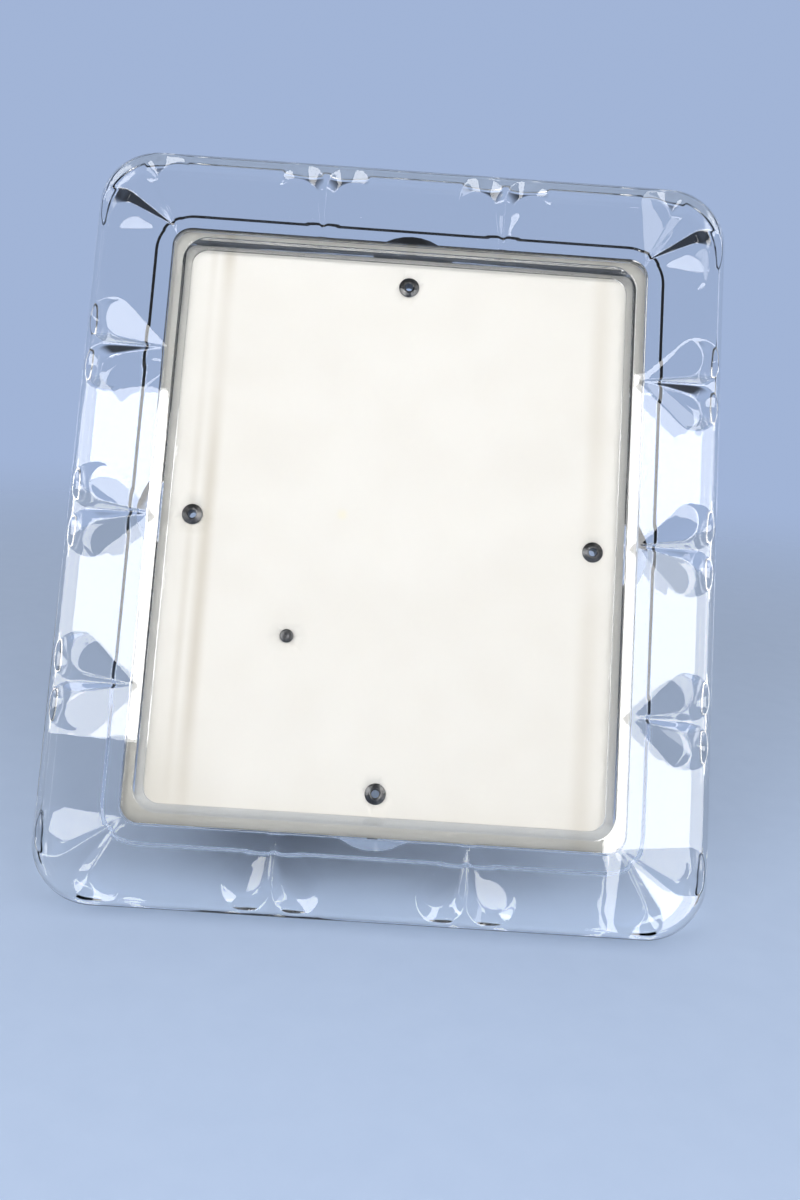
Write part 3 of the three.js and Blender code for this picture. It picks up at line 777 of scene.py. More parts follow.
def painted_shade_and_stain(finish, tone):
    """Paper with painted shade: shaded streaks along its sides, as (across, half width, strength),
    a darker lower left corner and a greyer margin under the lip. It also has a stain."""
    across, upwards = finish.along(right), finish.along(up)
    beyond = (across.size() - float(SIGHT[0])).largest(upwards.size() - float(SIGHT[1]))
    patchy = finish.spread(finish.noise(11.0, 3.0), 0.35, 0.6, 0.35, 1.0)
    # Painted shade: soft darker streaks along the paper's sides.
    for line, half_width, strength in SHADE_STREAKS:
        streak_shade = finish.spread((across - line).size(), 0.0, half_width, strength, 0.0)
        tone = finish.mix(streak_shade * patchy, tone, (0.66, 0.61, 0.52))
    # Painted shade: the lower left corner of the paper is darker.
    corner = finish.spread(across, -55.0, -100.0) * finish.spread(upwards, -70.0, -120.0)
    tone = finish.mix(corner * 0.5, tone, (0.66, 0.615, 0.53))
    off_x, off_y = across - SPOT[0], upwards - SPOT[1]
    stain = (off_x * off_x + off_y * off_y).power(0.5)
    tone = finish.mix(finish.spread(stain, 0.5, 3.5, 0.35, 0.0), tone, (0.86, 0.78, 0.52))
    # Painted shade: the paper past the sight edge, under the lip, is greyer.
    return finish.mix(finish.spread(beyond, -0.3, 0.9, 0.0, 0.35), tone, (0.36, 0.345, 0.32))


def layered_board():
    """Grey board, whose cut edge shows its layers."""
    finish = new_finish("grey_board")
    through = finish.vector("DOT_PRODUCT", finish.place(), tuple(front)) * PLIES
    ply = finish.node("ShaderNodeCombineXYZ", {}, {"X": through, "Y": finish.noise(200.0)})
    layers = finish.noise(1.0, 2.0, ply.outputs[0])
    fuzz = finish.noise(1800.0, 3.0)
    tone = finish.mix(finish.spread(layers, 0.35, 0.65), (0.30, 0.285, 0.26), (0.42, 0.405, 0.375))
    return finish.done(finish.surface(
        Base_Color=tone, Roughness=0.75 + fuzz * 0.2,
        Normal=finish.bump(layers * 0.5 + fuzz * 0.5, 0.5, 0.0002)))


# The ivory paper gets painted shade and one real stain.
finishes["white_paper"] = paper("ivory_paper", (0.86, 0.83, 0.77), (0.82, 0.785, 0.72), painted_shade_and_stain)
finishes["black_paper"] = paper("black_paper", (0.022, 0.022, 0.024), (0.015, 0.015, 0.016))
finishes["grey_board"] = layered_board()

# %% [markdown]
# ## Velvet
# Velvet's pile stands up, so it is darkest where it is seen straight on and lighter at a slant.
# The shader's sheen does that. Fingers and time have brushed the pile this way and that, which
# shows as soft lighter streaks.


# %% Velvet finish
def velvet(name):
    finish = new_finish(name)
    pile = finish.noise(2600.0)
    strokes = finish.noise(28.0, 3.0, finish.place((1.0, 0.6, 2.2), (0.4, 0.3, 0.2)), 0.55)
    brushed = finish.spread(strokes, 0.42, 0.66)
    tone = finish.mix(brushed * 0.75 + pile * 0.25, (0.007, 0.007, 0.008), (0.026, 0.026, 0.029))
    return finish.done(finish.surface(
        Base_Color=tone, Roughness=0.95, Specular_IOR_Level=0.15,
        Sheen_Weight=0.35, Sheen_Roughness=0.35, Sheen_Tint=(0.55, 0.55, 0.6),
        Normal=finish.bump(pile * 0.7 + brushed * 0.3, 0.6, 0.0004)))


finishes["black_velvet"] = velvet("black_velvet")

# %% [markdown]
# ## Metals
# The eyelets and turn buttons are steel with a dark gunmetal finish, and the hinge is plain
# nickelled steel. Both have fine scuffs, which change only the roughness and the smallest bumps,
# and the dark finish has rubbed a little lighter in places.


# %% Metal finishes
def metal(name, clean, rubbed, roughness, wear):
    finish = new_finish(name)
    scuffs = finish.noise(1400.0, 3.0, finish.place((1.0, 0.25, 1.0), (0.0, 0.5, 0.3)))
    patches = finish.spread(finish.noise(260.0, 3.0), 0.5, 0.75)
    return finish.done(finish.surface(
        Base_Color=finish.mix(patches * wear, clean, rubbed), Metallic=1.0,
        Roughness=roughness + scuffs * 0.14 + patches * 0.06,
        Normal=finish.bump(scuffs, 0.15, 0.00005)))


finishes["gunmetal"] = metal("gunmetal", (0.085, 0.085, 0.088), (0.2, 0.195, 0.19), 0.26, 0.7)
finishes["steel"] = metal("nickelled_steel", (0.60, 0.585, 0.55), (0.50, 0.48, 0.45), 0.2, 0.6)
print("finishes", list(finishes))

# %% [markdown]
# ## Flat pieces with holes
# Paper, velvet and board are flat shapes with holes in them. Blender can fill such a shape with
# triangles between its outline, its holes and a grid of inner points. The inner points let the
# sheet swell and dip a little, as paper and cloth do, and Solidify gives it its thickness.


# %% Outlines
def circle(x, y, radius, sides=48):
    turns = [2 * math.pi * i / sides for i in range(sides)]
    return [(x + radius * math.cos(turn), y + radius * math.sin(turn)) for turn in turns]


def neighbours(loop):
    """Each point of a loop between the ones before and after it."""
    shape = [Vector(point) for point in loop]
    return zip(shape[-1:] + shape, shape, shape[1:] + shape[:1])


def rounded_outline(corners, radius, steps=8, spacing=4.0):
    """A polygon with rounded corners, as points in order with some along its sides."""
    outline = []
    for before, corner, after in neighbours(corners):
        back, ahead = (before - corner).normalized(), (after - corner).normalized()
        half = math.acos(max(-1.0, min(1.0, back.dot(ahead)))) / 2
        cut = radius / math.tan(half)
        middle = corner + (back + ahead).normalized() * radius / math.sin(half)
        start, stop = corner + back * cut - middle, corner + ahead * cut - middle
        sweep = math.pi - 2 * half
        for share in (k / steps for k in range(steps + 1)):
            outline.append(middle + start * (math.sin((1 - share) * sweep) / math.sin(sweep))
                           + stop * (math.sin(share * sweep) / math.sin(sweep)))
    dense = []
    for first, second in zip(outline, outline[1:] + outline[:1]):
        cuts = max(1, int((second - first).length / spacing))
        dense += [tuple(first.lerp(second, k / cuts)) for k in range(cuts)]
    return dense


def rounded_rectangle(half, radius, steps):
    signs = ((-1, -1), (1, -1), (1, 1), (-1, 1))
    return rounded_outline([half[:2] * sign for sign in signs], radius, steps, 6.0)


def shrunk(outline, distance):
    """An outline moved inwards by a distance."""
    moved = []
    for before, point, after in neighbours(outline):
        along = (after - before).normalized()
        moved.append(tuple(point - Vector((along.y, -along.x)) * distance))
    return moved


def inside(point, loop):
    """Whether a point lies in a closed loop."""
    x, y = point
    hit = False
    for (x1, y1), (x2, y2) in zip(loop, loop[1:] + loop[:1]):
        if (y1 > y) != (y2 > y) and x < (x2 - x1) * (y - y1) / (y2 - y1) + x1:
            hit = not hit
    return hit


# %% A filled sheet
CLEAR_OF_EDGE = 0.45


def filled(outline, holes, spacing):
    """Fills an outline with triangles, apart from its holes."""
    def within(point):
        return inside(point, outline) and not any(inside(point, hole) for hole in holes)

    loops = [outline, *holes]
    points = [point for loop in loops for point in loop]
    edges = []
    for loop in loops:
        first, count = len(edges), len(loop)
        edges += [(first + i, first + (i + 1) % count) for i in range(count)]
    (left, low), (right_end, high) = np.min(outline, axis=0), np.max(outline, axis=0)
    rim = points[:]
    for i in range(1, int((high - low) / spacing)):
        for k in range(1, int((right_end - left) / spacing)):
            stagger = 0.5 * (i % 2) - 0.25
            point = (float(left + (k + stagger) * spacing), float(low + i * spacing))
            if min(math.dist(point, other) for other in rim) > spacing * CLEAR_OF_EDGE:
                if within(point):
                    points.append(point)
    flat, _, faces, *_ = geometry.delaunay_2d_cdt(
        [Vector(point) for point in points], edges, [], 0, 0.0001)
    middles = [sum((flat[i] for i in face), Vector((0, 0))) / len(face) for face in faces]
    return flat, [face for face, middle in zip(faces, middles) if within(middle)]


# %% Thickness and soft edges
def thicken(piece, thickness):
    solid = piece.modifiers.new("thickness", "SOLIDIFY")
    solid.thickness = thickness * MM
    solid.offset = 0.0


def soften(piece, width, angle):
    """Bevels the edges that are sharper than an angle."""
    bevel = piece.modifiers.new("soft_edge", "BEVEL")
    bevel.width = width * MM
    bevel.segments = 2
    bevel.angle_limit = math.radians(angle)


def on_table(points, axes, lift):
    """Lifts the points that would lie below the table, or closer to it than a lift."""
    inverse = axes.inverted()
    kept = []
    for point in points:
        place = axes @ (Vector(point) * MM)
        place.z = max(place.z, CAD_BOX[0][2] + lift * MM)
        kept.append(tuple(inverse @ place / MM))
    return kept


print("sheet tools ready")

# %% [markdown]
# ## The window's pane
# The pane is a plain sheet of picture glass. Its edges are seamed, which means that a stone has
# taken off the sharp corner, and they show as a thin bright line through the crystal.

# %% Pane
SEAM = 0.25
PANE_RADIUS = 8.0


def slab(outline, low, high, edge):
    """Points and faces of a plate with bevelled edges."""
    count = len(outline)
    rims = ((edge, low), (0, low + edge), (0, high - edge), (edge, high))
    points = [(*point, height) for inset, height in rims for point in shrunk(outline, inset)]
    faces = [list(range(count))[::-1], list(range(3 * count, 4 * count))]
    for row in range(3):
        faces += strip(row * count, (row + 1) * count, count)
    return points, faces


pane_outline = rounded_rectangle(pane_high, PANE_RADIUS, 10)
make_piece("window_pane", "glass_pane", "window_glass",
           *slab(pane_outline, *heights_of("glass_pane"), SEAM), stand, smooth=False)
print("pane", np.round(pane_high[:2] * 2, 1))

# %% [markdown]
# ## The board
# The board lies behind the pane: ivory paper in front, a grey core, and velvet behind. In the
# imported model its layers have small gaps. Here they are glued, so that the core fills the room
# between the paper and the velvet.

# %% Board core, paper and velvet
BOARD_RADIUS = 8.0
GLUE = 0.02
AIR = 0.1
EYELET_HOLE = 2.35
RIVET_HOLE = 1.3


def wavy(points, height, swell, scale, seed):
    """Lays flat points at a height that swells and dips by a little."""
    return [(x, y, height + swell * noise.noise(Vector((x / scale, y / scale, seed))))
            for x, y in points]


def layer(name, node, slot, sheet, low, high, wave=(0, 50, 0), trim=0.0,
          axes=stand, lift=None, smooth=True):
    """A sheet between two heights. Its wave is how far, how widely and how it swells and dips."""
    points = wavy(sheet[0], (low + high) / 2, *wave)
    if lift is not None:
        points = on_table(points, axes, lift)
    piece = make_piece(name, node, slot, points, sheet[1], axes, smooth)
    thicken(piece, high - low - trim)
    return piece


liner_low, liner_high = heights_of("white_liner")
velvet_low, velvet_high = heights_of("velvet_back")
ribbon_rivet = sum(box_of("ribbon_rivet_board")) / 2
board_holes = [circle(pivot.x, pivot.y, EYELET_HOLE, 32) for pivot in pivots.values()]
board_holes.append(circle(*ribbon_rivet[:2], RIVET_HOLE, 20))
board_sheet = filled(rounded_rectangle(board_high, BOARD_RADIUS, 8), board_holes, 7.0)
core = layer("board_core_card", "board_core", "grey_board", board_sheet, velvet_high, liner_low,
             trim=GLUE, smooth=False)
layer("board_paper", "white_liner", "white_paper", board_sheet, liner_low, liner_high,
      (0.08, 42, 3), AIR)
velvet_sheet = layer("board_velvet", "velvet_back", "black_velvet", board_sheet,
                     velvet_low, velvet_high, (0.06, 20, 7))
tuple(board_high[:2] * 2 * MM)
print("board", np.round(board_high[:2] * 2, 1), "triangles", len(board_sheet[1]))

# %% [markdown]
# ## Turned metal
# Eyelets, rivets and the hinge's pin are round, so each is a profile turned about its axis. An
# eyelet is pressed from thin tube: its front is rolled into a dome, and its back is curled over
# the turn button, which swings on it.

# %% Turning a profile
ON_AXIS = 1e-6


def turned(profile, sides=48):
    """Points and faces of a profile turned about z. Ends on the axis close it; others join up."""
    points = [(x, y, height) for radius, height in profile for x, y in circle(0, 0, radius, sides)]
    rows = len(profile)
    faces = []
    for row in range(rows if profile[0][0] > ON_AXIS else rows - 1):
        faces += strip(row * sides, (row + 1) % rows * sides, sides)
    return points, faces


def tidy(piece):
    """Merges the points that fall together and turns the faces outwards."""
    with editing(piece) as work:
        bmesh.ops.remove_doubles(work, verts=work.verts, dist=1e-7)
        bmesh.ops.recalc_face_normals(work, faces=work.faces)
    return piece


def at(pivot, turn=0.0):
    """The picture's axes moved to a pivot and turned about it, in degrees."""
    move = Matrix.Translation(Vector((pivot[0], pivot[1], 0)) * MM)
    return stand @ move @ Matrix.Rotation(math.radians(turn), 4, "Z")


def line_of(corners):
    """Rounds a line of (radius, height, corner radius) and keeps only radius and height."""
    line = rounded([((x, y, 0.0), radius, 4, 0) for x, y, radius in corners], 0.05)
    return [tuple(point[:2]) for point in line]


# %% Eyelets
FLANGE = 4.6
TUBE = 2.25
BORE = 1.75
ROLL = 3.6
SEAM_IN_BORE = 5.5
eyelet_back = heights_of("eyelet_top")[0]
flange_under = liner_high + GLUE
dome = heights_of("glass_pane")[0] - 0.2
roll_under = button_low - 0.1
eyelet_profile = line_of([
    (BORE, SEAM_IN_BORE, 0), (BORE, dome - 0.1, 0.3), (TUBE + 0.35, dome, 0.4),
    (FLANGE, flange_under + 0.3, 0.12), (FLANGE, flange_under, 0.08), (TUBE, flange_under, 0.03),
    (TUBE, roll_under, 0.03), (ROLL, roll_under, 0.1), (ROLL - 0.1, eyelet_back + 0.05, 0.15),
    (TUBE + 0.2, eyelet_back, 0.1), (BORE, eyelet_back + 0.25, 0.15),
    (BORE, SEAM_IN_BORE - 0.1, 0)])
for side, pivot in pivots.items():
    node = f"eyelet_{side}"
    tidy(make_piece(f"{node}_ring", node, "gunmetal", *turned(eyelet_profile, 64), at(pivot)))
print("eyelets", round(dome - eyelet_back, 2), "mm deep")

# %% [markdown]
# ## Turn buttons
# Each turn button is a stamped strip with a round head. Its arm swings into the groove and holds
# the board in the frame. The stamping leaves soft edges, and a shallow dimple near the tip gives
# the finger something to push.

# %% Turn buttons
HEAD = 5.0
ARM = 4.6
ARM_START = 6.5
TIP_CORNER = 1.3
DIMPLE_DEPTH = 0.11
DIMPLE_INSET = 5.5
DIMPLE_SPREAD = 2.2
BUTTON_EDGE = 0.18
BUTTON_MESH = 1.1
BUTTON_PLAY = 0.2
BUTTON_TURN = {"top": 90, "left": 180, "bottom": 270, "right": 0}


def button_outline():
    """The outline of a turn button with its arm along x."""
    half, tip = ARM / 2, button_reach - TIP_CORNER
    meet = math.asin(half / HEAD)
    head = [meet + (2 * math.pi - 2 * meet) * i / 44 for i in range(45)]
    line = [(HEAD * math.cos(a), HEAD * math.sin(a)) for a in head]
    line += [(x, -half) for x in np.linspace(ARM_START, tip, 8)]
    for centre_y, turns in ((TIP_CORNER - half, np.linspace(0.2 - math.pi / 2, 0, 6)),
                            (half - TIP_CORNER, np.linspace(0.0, math.pi / 2 - 0.2, 6))):
        line += [(tip + TIP_CORNER * math.cos(a), centre_y + TIP_CORNER * math.sin(a))
                 for a in turns]
    return line + [(x, half) for x in np.linspace(tip, ARM_START, 8)]


flat_points, flat_faces = filled(
    button_outline(), [circle(0, 0, TUBE + BUTTON_PLAY, 32)], BUTTON_MESH)
button_points = []
for x, y in flat_points:
    dimple = math.exp(-((x - button_reach + DIMPLE_INSET) ** 2 + y * y) / DIMPLE_SPREAD)
    button_points.append((x, y, (button_low + button_high) / 2 + DIMPLE_DEPTH * dimple))
for side, turn in BUTTON_TURN.items():
    node = f"turn_button_{side}"
    button = make_piece(f"{node}_strip", node, "gunmetal", button_points, flat_faces,
                        at(pivots[side], turn))
    thicken(button, button_high - button_low)
    soften(button, BUTTON_EDGE, 50)
print("turn buttons reach", round(button_reach, 1))

# %% [markdown]
# ## Rivets
# A rivet is a short shank with a low dome on each end. The stay ribbon's rivet has a small
# dimple in its front head, where the setting tool pressed it.

# %% Rivets
SHANK = 1.2
HEAD_RISE = 0.5
DOME_RISE = 0.4
LEG_OPENING = 34.0
hinge_axis = Vector(joints["leg_hinge"]["axis"]).normalized()
seat = axes_at(hinge_place, hinge_axis, (-front).cross(hinge_axis), -front)
leg_axes = seat @ Matrix.Rotation(math.radians(LEG_OPENING), 4, "X")


def rivet_profile(low, high, low_head, high_head, dimple=0.0):
    """The profile of a rivet between two heights, which include its heads."""
    bottom = [(low_head * math.sin(a), low + DOME_RISE - DOME_RISE * math.cos(a))
              for a in np.linspace(0, math.pi / 2, 9)]
    top = [(high_head * math.sin(a), high - DOME_RISE + DOME_RISE * math.cos(a)
            - dimple * math.exp(-(high_head * math.sin(a)) ** 2 / 0.5))
           for a in np.linspace(math.pi / 2, 0, 17)]
    under_low, under_high = low + HEAD_RISE, high - HEAD_RISE
    return [*bottom, (low_head, under_low), (SHANK, under_low), (SHANK, under_high),
            (high_head, under_high), *top]


def rivet(node, axes, heads, slot, dimple=0.0):
    """A smooth rivet in place of a node, measured along z of some axes."""
    low, high = box_of(node, axes)
    middle = (low + high) / 2
    points, faces = turned(rivet_profile(low[2], high[2], *heads, dimple))
    points = [(x + middle[0], y + middle[1], z) for x, y, z in points]
    tidy(make_piece(f"{node}_domed", node, slot, points, faces, axes))


rivet("ribbon_rivet_board", stand, (3.0, 3.0), "gunmetal", 0.3)
rivet("ribbon_rivet_leg", leg_axes, (2.4, 3.0), "gunmetal")
for i in (1, 2):
    rivet(f"hinge_board_rivet_{i}", stand, (2.4, 2.4), "steel")
    rivet(f"hinge_leg_rivet_{i}", leg_axes, (2.4, 2.4), "steel")
print("rivets", sum("_rivet_" in name for name in frame["nodes"]))

# %% [markdown]
# ## The butt hinge
# Each leaf is one strip of sheet steel, cut into fingers that are curled round the pin. Drawing
# the middle of the sheet and letting Solidify add the thickness gives real curls.

# %% Hinge leaves and pin
HINGE = 44.0
KNUCKLES = 5
KNUCKLE_GAP = 0.3
KNUCKLE = 1.7
LEAF = 0.6
LEAF_LENGTH = 16.0
PLATE_START = 2.0
CURL = 285.0
CELLS = 5
PIN_RADIUS = 0.8
PIN_HEAD = 1.5
PIN_HEAD_LENGTH = 0.6


def leaf(name, node, axes, first, sign):
    """A leaf whose plate lies at sign times its height from the pin."""
    middle = KNUCKLE - LEAF / 2
    plate = [(y, sign * middle) for y in np.linspace(LEAF_LENGTH, PLATE_START, 8)]
    curl = [(-middle * math.sin(a), sign * middle * math.cos(a))
            for a in np.radians(np.linspace(0, CURL, 25))]
    path = plate + curl
    length = (HINGE - KNUCKLE_GAP * (KNUCKLES - 1)) / KNUCKLES
    stops, faces = [], []
    for i in range(KNUCKLES):
        curls = i % 2 == first
        grow = 0 if curls else KNUCKLE_GAP
        start = -HINGE / 2 + i * (length + KNUCKLE_GAP)
        low = start - (grow if i else 0)
        high = start + length + (grow if i < KNUCKLES - 1 else 0)
        for stop in np.linspace(low, high, CELLS + 1)[:-1]:
            row = len(stops) * len(path)
            faces += strip(row, row + len(path), len(path if curls else plate), closed=False)
            stops.append(stop)
    points = [(x, y, z) for x in (*stops, HINGE / 2) for y, z in path]
    piece = make_piece(name, node, "steel", points, faces, axes)
    with editing(piece) as work:
        loose = [vertex for vertex in work.verts if not vertex.link_faces]
        bmesh.ops.delete(work, geom=loose, context="VERTS")
    thicken(piece, LEAF)
    soften(piece, 0.1, 60)


leaf("hinge_leaf_on_board", "hinge_board_leaf", seat, 0, -1)
leaf("hinge_leaf_on_leg", "hinge_leg_leaf", leg_axes, 1, 1)
pin_end = HINGE / 2 + KNUCKLE_GAP + PIN_HEAD_LENGTH
head_end = pin_end - PIN_HEAD_LENGTH
half_pin = [(1e-7, pin_end, 0), (PIN_HEAD, pin_end, 0.2), (PIN_HEAD, head_end, 0.1),
            (PIN_RADIUS, head_end, 0.05)]
pin_profile = line_of([(radius, -height, corner) for radius, height, corner in half_pin]
                      + half_pin[::-1])
tidy(make_piece("hinge_pin_turned", "hinge_pin", "steel", *turned(pin_profile, 32),
                seat @ Matrix.Rotation(math.radians(90), 4, "Y")))
print("hinge", HINGE, "mm")

# %% [markdown]
# ## The easel leg
# The leg is grey board with velvet glued over its outside and round its edges, and black paper
# inside. Its foot is cut to stand flat on the table when the leg is open, so the corners come
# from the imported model. The cloth takes up a little room, so the board inside it is cut smaller.

# %% Corners of the leg
CLOTH = 0.3
SAME = 0.05


def leg_layer(node):
    """A layer's corners on its outer face, and the heights of its two faces."""
    points = node_points(node, leg_axes)
    low, high = points[:, 2].min(), points[:, 2].max()
    face = points[points[:, 2] > high - SAME]
    left, right = face[:, 0].min(), face[:, 0].max()
    foot_left = face[face[:, 0] < left + SAME, 1].max()
    foot_right = face[face[:, 0] > right - SAME, 1].max()
    toe = face[face[:, 1].argmax()]
    corners = [(left, 0.0), (right, 0.0), (right, foot_right), (toe[0], toe[1]), (left, foot_left)]
    return corners, low, high


leg_corners, velvet_in, velvet_out = leg_layer("leg_velvet")
lining_in, lining_out = leg_layer("leg_lining")[1:]
print("leg corners", [tuple(round(c, 1) for c in corner) for corner in leg_corners])

# %% Board and paper of the leg
WRAP = 0.45
LEG_CORNER = 1.6
PAPER_MARGIN = 2.5
RIBBON_ON_LEG = 95.0
LEG_RIVETS = ((-14.0, 9.0), (14.0, 9.0), (0.0, RIBBON_ON_LEG))
leg_outline = rounded_outline(leg_corners, LEG_CORNER, 5, 3.0)
leg_holes = [circle(x, y, RIVET_HOLE, 20) for x, y in LEG_RIVETS]
leg_card = layer("leg_card", "leg_core", "grey_board",
                 filled(shrunk(leg_outline, WRAP), leg_holes, 8.0), lining_out, velvet_in,
                 trim=GLUE, axes=leg_axes, lift=CLOTH, smooth=False)
layer("leg_paper", "leg_lining", "black_paper",
      filled(shrunk(leg_outline, PAPER_MARGIN), leg_holes, 8.0), lining_in, lining_out,
      (0.05, 30, 5), AIR, axes=leg_axes, lift=0.0)
print("leg card", round(velvet_in - lining_out, 2), "mm thick")

# %% Wrapped velvet of the leg
TURN_IN = 6.5
CLOTH_MIDDLE = 0.2
UNDER_LINING = 0.15
CLOTH_BEND = 0.8
CLOTH_WAVE = (0.05, 16, 11)
CLOTH_MESH = 4.0


def wrapped(outline, holes, top, turn_under, radius):
    """A cloth over an outline that rounds its edges and goes down them and a little under."""
    flat, faces = filled(shrunk(outline, radius), holes, CLOTH_MESH)
    points = wavy(flat, top, *CLOTH_WAVE)
    rims = [(radius * (1 - math.sin(a)), top - radius * (1 - math.cos(a)))
            for a in (0.4, 0.8, 1.2, math.pi / 2)]
    rims += [(0.0, turn_under + 0.6), (0.0, turn_under + 0.25),
             (0.25, turn_under), (1.2, turn_under), (3.0, turn_under)]
    start = 0
    for inset, height in rims:
        here = len(points)
        points += [(x, y, height) for x, y in shrunk(outline, inset)]
        faces += [face[1:] + face[:1] for face in strip(here, start, len(outline))]
        start = here
    return points, faces


cloth_points, cloth_faces = wrapped(leg_outline, leg_holes, velvet_out - CLOTH_MIDDLE,
                                    lining_out - UNDER_LINING, CLOTH_BEND)
leg_cloth = tidy(make_piece("leg_velvet_cover", "leg_velvet", "black_velvet",
                            on_table(cloth_points, leg_axes, CLOTH / 2), cloth_faces, leg_axes))
thicken(leg_cloth, CLOTH)
cloth_area = 0.0
for (x1, y1), (x2, y2) in zip(leg_corners, leg_corners[1:] + leg_corners[:1]):
    cloth_area += (x1 * y2 - x2 * y1) / 2 + math.hypot(x2 - x1, y2 - y1) * TURN_IN
cloth_area * MM ** 2

# %% [markdown]
# ## The stay ribbon
# A ribbon keeps the leg from opening too far. It is woven, with fine ribs across it, and it is taut
# while the frame stands. As the leg closes it folds up between leg and board, but here its mesh is
# drawn taut only and is not attached to either.


# %% Ribbon finish
def ribbon_finish():
    """Black ribbon with ribs across it. Its coordinates run along and across in millimetres."""
    finish = new_finish("ribbed_ribbon")
    along = finish.node("ShaderNodeUVMap", {"uv_map": "weave"}).outputs[0]
    ribs, threads = (Sum(finish, finish.node(
        "ShaderNodeTexWave", {"bands_direction": direction, "wave_profile": "SIN"},
        {"Vector": along, "Scale": scale, "Distortion": distortion, "Detail": 1.0}).outputs["Fac"])
        for direction, scale, distortion in (("X", 0.55, 0.3), ("Y", 1.6, 0.4)))
    weave = ribs * 0.75 + threads * 0.25
    return finish.done(finish.surface(
        Base_Color=finish.mix(weave, (0.006, 0.006, 0.007), (0.03, 0.03, 0.034)),
        Roughness=0.62 - weave * 0.15, Sheen_Weight=0.25, Sheen_Roughness=0.4,
        Normal=finish.bump(weave, 0.6, 0.0003)))


finishes["black_ribbon"] = ribbon_finish()

# %% Ribbon
RIBBON_WIDTH = 10.0
RIBBON_THICKNESS = 0.5
RIBBON_TAB = 6.0
RIBBON_ON_BOARD = 70.0
RIBBON_BEND = 3.0
ACROSS = 8
tab_height = KNUCKLE - RIBBON_THICKNESS / 2


def on_leg(y):
    """A point of the leg's plane in the hinge seat's axes, as (down, out)."""
    point = Matrix.Rotation(math.radians(LEG_OPENING), 3, "X") @ Vector((0, y, tab_height))
    return point.y, point.z


taut_from = (RIBBON_ON_BOARD + RIBBON_TAB, -tab_height)
taut_to = on_leg(RIBBON_ON_LEG - RIBBON_TAB)
ribbon_line = rounded([((*point, 0.0), radius, 8, extra) for point, radius, extra in (
    ((RIBBON_ON_BOARD - RIBBON_TAB, -tab_height), 0, 8), (taut_from, RIBBON_BEND, 40),
    (taut_to, RIBBON_BEND, 8), (on_leg(RIBBON_ON_LEG + RIBBON_TAB), 0, 0))], 0.5)
sides = [(k / ACROSS - 0.5) * RIBBON_WIDTH for k in range(ACROSS + 1)]
ribbon_points, ribbon_uv, ribbon_faces = [], [], []
travelled = 0.0
before = ribbon_line[0]
for point in ribbon_line:
    travelled += float(np.linalg.norm(point[:2] - before[:2]))
    before = point
    if ribbon_points:
        row = len(ribbon_points)
        ribbon_faces += strip(row - len(sides), row, len(sides), closed=False)
    ribbon_points += [(side, point[0], point[1]) for side in sides]
    ribbon_uv += [(travelled, side) for side in sides]
ribbon = make_piece("stay_ribbon_woven", "stay_ribbon", "black_ribbon", ribbon_points,
                    ribbon_faces, seat, rides=False)
weave_map = ribbon.data.uv_layers.new(name="weave")
for loop in ribbon.data.loops:
    weave_map.data[loop.index].uv = ribbon_uv[loop.vertex_index]
thicken(ribbon, RIBBON_THICKNESS * 0.8)
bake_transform(ribbon)
print("ribbon", round(travelled, 1), "mm")

# %% [markdown]
# ## Floor and backdrop
# The frame stands on a plain pale blue floor. A backdrop that meets a floor shows a line, so
# the floor fades away with distance instead, into a world of the same colour.

# %% Floor
FLOOR_RADIUS = 4.0
FLOOR_RINGS = 24
FLOOR_SIDES = 96
FADE_START = 0.45
FADE_END = 1.7
floor_points = [(0.0, 0.0, 0.0)]
floor_faces = [(0, 1 + k, 1 + (k + 1) % FLOOR_SIDES) for k in range(FLOOR_SIDES)]
for i in range(1, FLOOR_RINGS + 1):
    here = len(floor_points)
    floor_points += [(*point, 0.0) for point in
                     circle(0, 0, FLOOR_RADIUS * i / FLOOR_RINGS, FLOOR_SIDES)]
    if i > 1:
        floor_faces += strip(here, here - FLOOR_SIDES, FLOOR_SIDES)
floor = placed("floor", bpy.data.meshes.new("floor"))
floor.data.from_pydata(floor_points, [], floor_faces)
floor.location.z = CAD_BOX[0][2]

paint = new_finish("floor_paper")
grain = paint.noise(60.0, 3.0)
tint = paint.mix(grain, (0.50, 0.63, 0.87), (0.54, 0.67, 0.91))
card = paint.surface(Base_Color=tint, Roughness=0.85, Normal=paint.bump(grain, 0.05, 0.001))
clear = paint.node("ShaderNodeBsdfTransparent").outputs[0]
fade = paint.spread(paint.vector("LENGTH", paint.place()), FADE_START, FADE_END)
floor.data.materials.append(paint.done(paint.blend(fade, card, clear)))
print("floor at", floor.location.z)

# %% [markdown]
# The world is that backdrop, to the camera and to what the glass shows of it. Glass needs
# something dark to mirror too, or it looks like mist. A studio has it: the dark room above the
# backdrop. All other light from the world is an even grey.

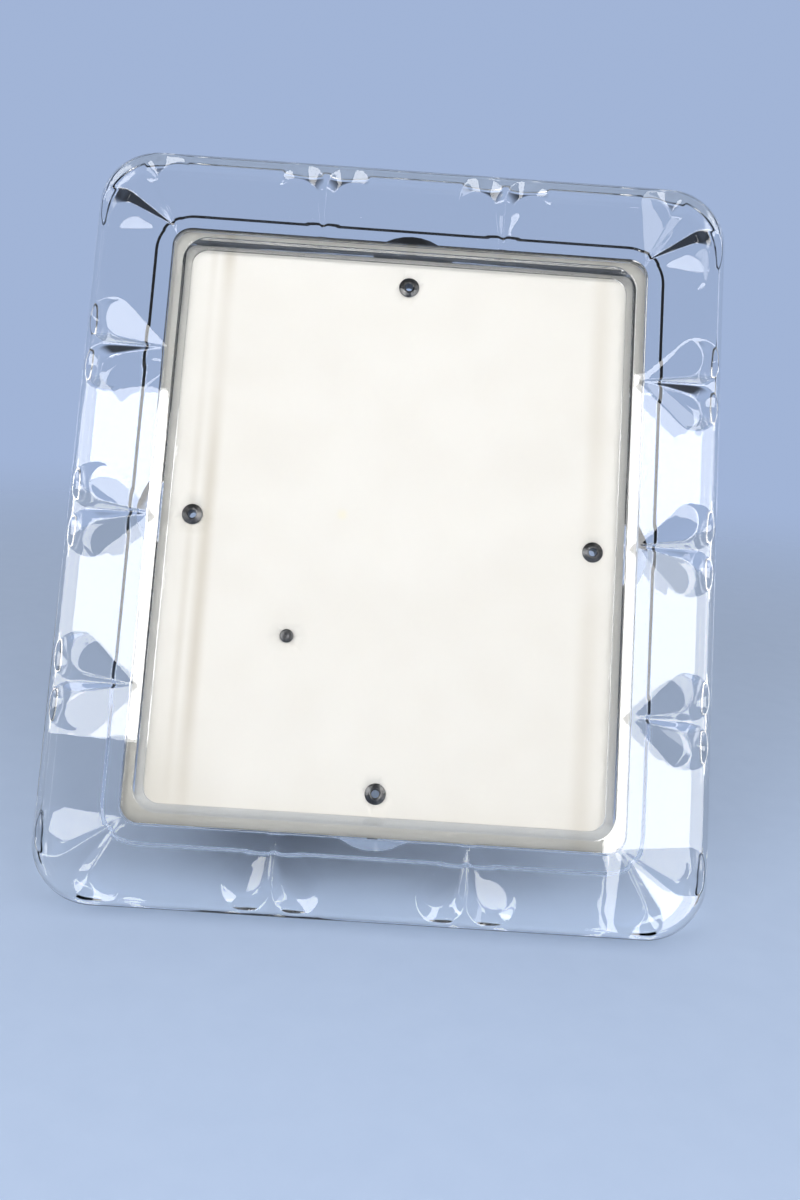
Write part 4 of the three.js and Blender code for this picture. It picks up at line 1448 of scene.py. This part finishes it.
# %% World
BACKGROUND = (0.36, 0.46, 0.68)
DARK_ROOM = (0.02, 0.022, 0.026)
EVEN_GREY = (0.5, 0.5, 0.5)
BACKDROP_TOP = (0.16, 0.30)
sky = Finish(bpy.data.worlds.new("studio"))
bpy.context.scene.world = sky.owner
rays = sky.node("ShaderNodeLightPath").outputs
way = sky.node("ShaderNodeTexCoord").outputs["Generated"]
height = sky.node("ShaderNodeSeparateXYZ", {}, {0: way}).outputs["Z"]
in_glass = sky.mix(sky.spread(height, *BACKDROP_TOP), BACKGROUND, DARK_ROOM)
glass_ray = Sum(sky, rays["Is Glossy Ray"]).largest(rays["Is Transmission Ray"])
ambient = sky.mix(glass_ray, EVEN_GREY, in_glass)
colour = sky.mix(rays["Is Camera Ray"], ambient, BACKGROUND)
light = sky.node("ShaderNodeBackground", {}, {"Color": colour, "Strength": 1.0}).outputs[0]
sky.done(light, "ShaderNodeOutputWorld")
print("world", sky.owner.name)

# %% [markdown]
# ## Lamps
# The softboxes stand parallel to the frame's face. The camera sees them mirrored in the face,
# so each one's edges are worked back from where its mirror image ends on the border.

# %% Softboxes
LAMP_DISTANCE = 1200.0
LAMP_RADIANCE = 7.5
PANEL_RADIANCE = 3.5
camera_flat = lay_flat @ Vector(CAMERA_PLACE) / MM
mirror_eye = Vector((camera_flat.x, camera_flat.y, 2 * DEPTH - camera_flat.z))


def mirrored(x, y):
    """Where a lamp's point has to be, to be seen mirrored at a point of the frame's face."""
    way = Vector((x, y, DEPTH)) - mirror_eye
    return mirror_eye + way * ((LAMP_DISTANCE - mirror_eye.z) / way.z)


def softbox(name, inner, outer, low, high, radiance):
    """A soft light whose mirror image fills part of the frame's face."""
    first, last = mirrored(inner, low), mirrored(outer, high)
    lamp = placed(name, bpy.data.lights.new(name, "AREA"))
    lamp.data.shape = "RECTANGLE"
    lamp.data.size = abs(first.x - last.x) * MM
    lamp.data.size_y = abs(first.y - last.y) * MM
    lamp.data.energy = radiance * math.pi * lamp.data.size * lamp.data.size_y
    lamp.matrix_world = stand @ Matrix.Translation((first + last) / 2 * MM)


softbox("left_softbox", -99.0, -292.0, -98.0, 56.0, LAMP_RADIANCE)
softbox("right_softbox", 99.0, 186.0, -172.0, 78.0, LAMP_RADIANCE)
softbox("right_panel", 186.0, 300.0, 35.0, 210.0, PANEL_RADIANCE)
bpy.context.scene.view_settings.view_transform = "Standard"
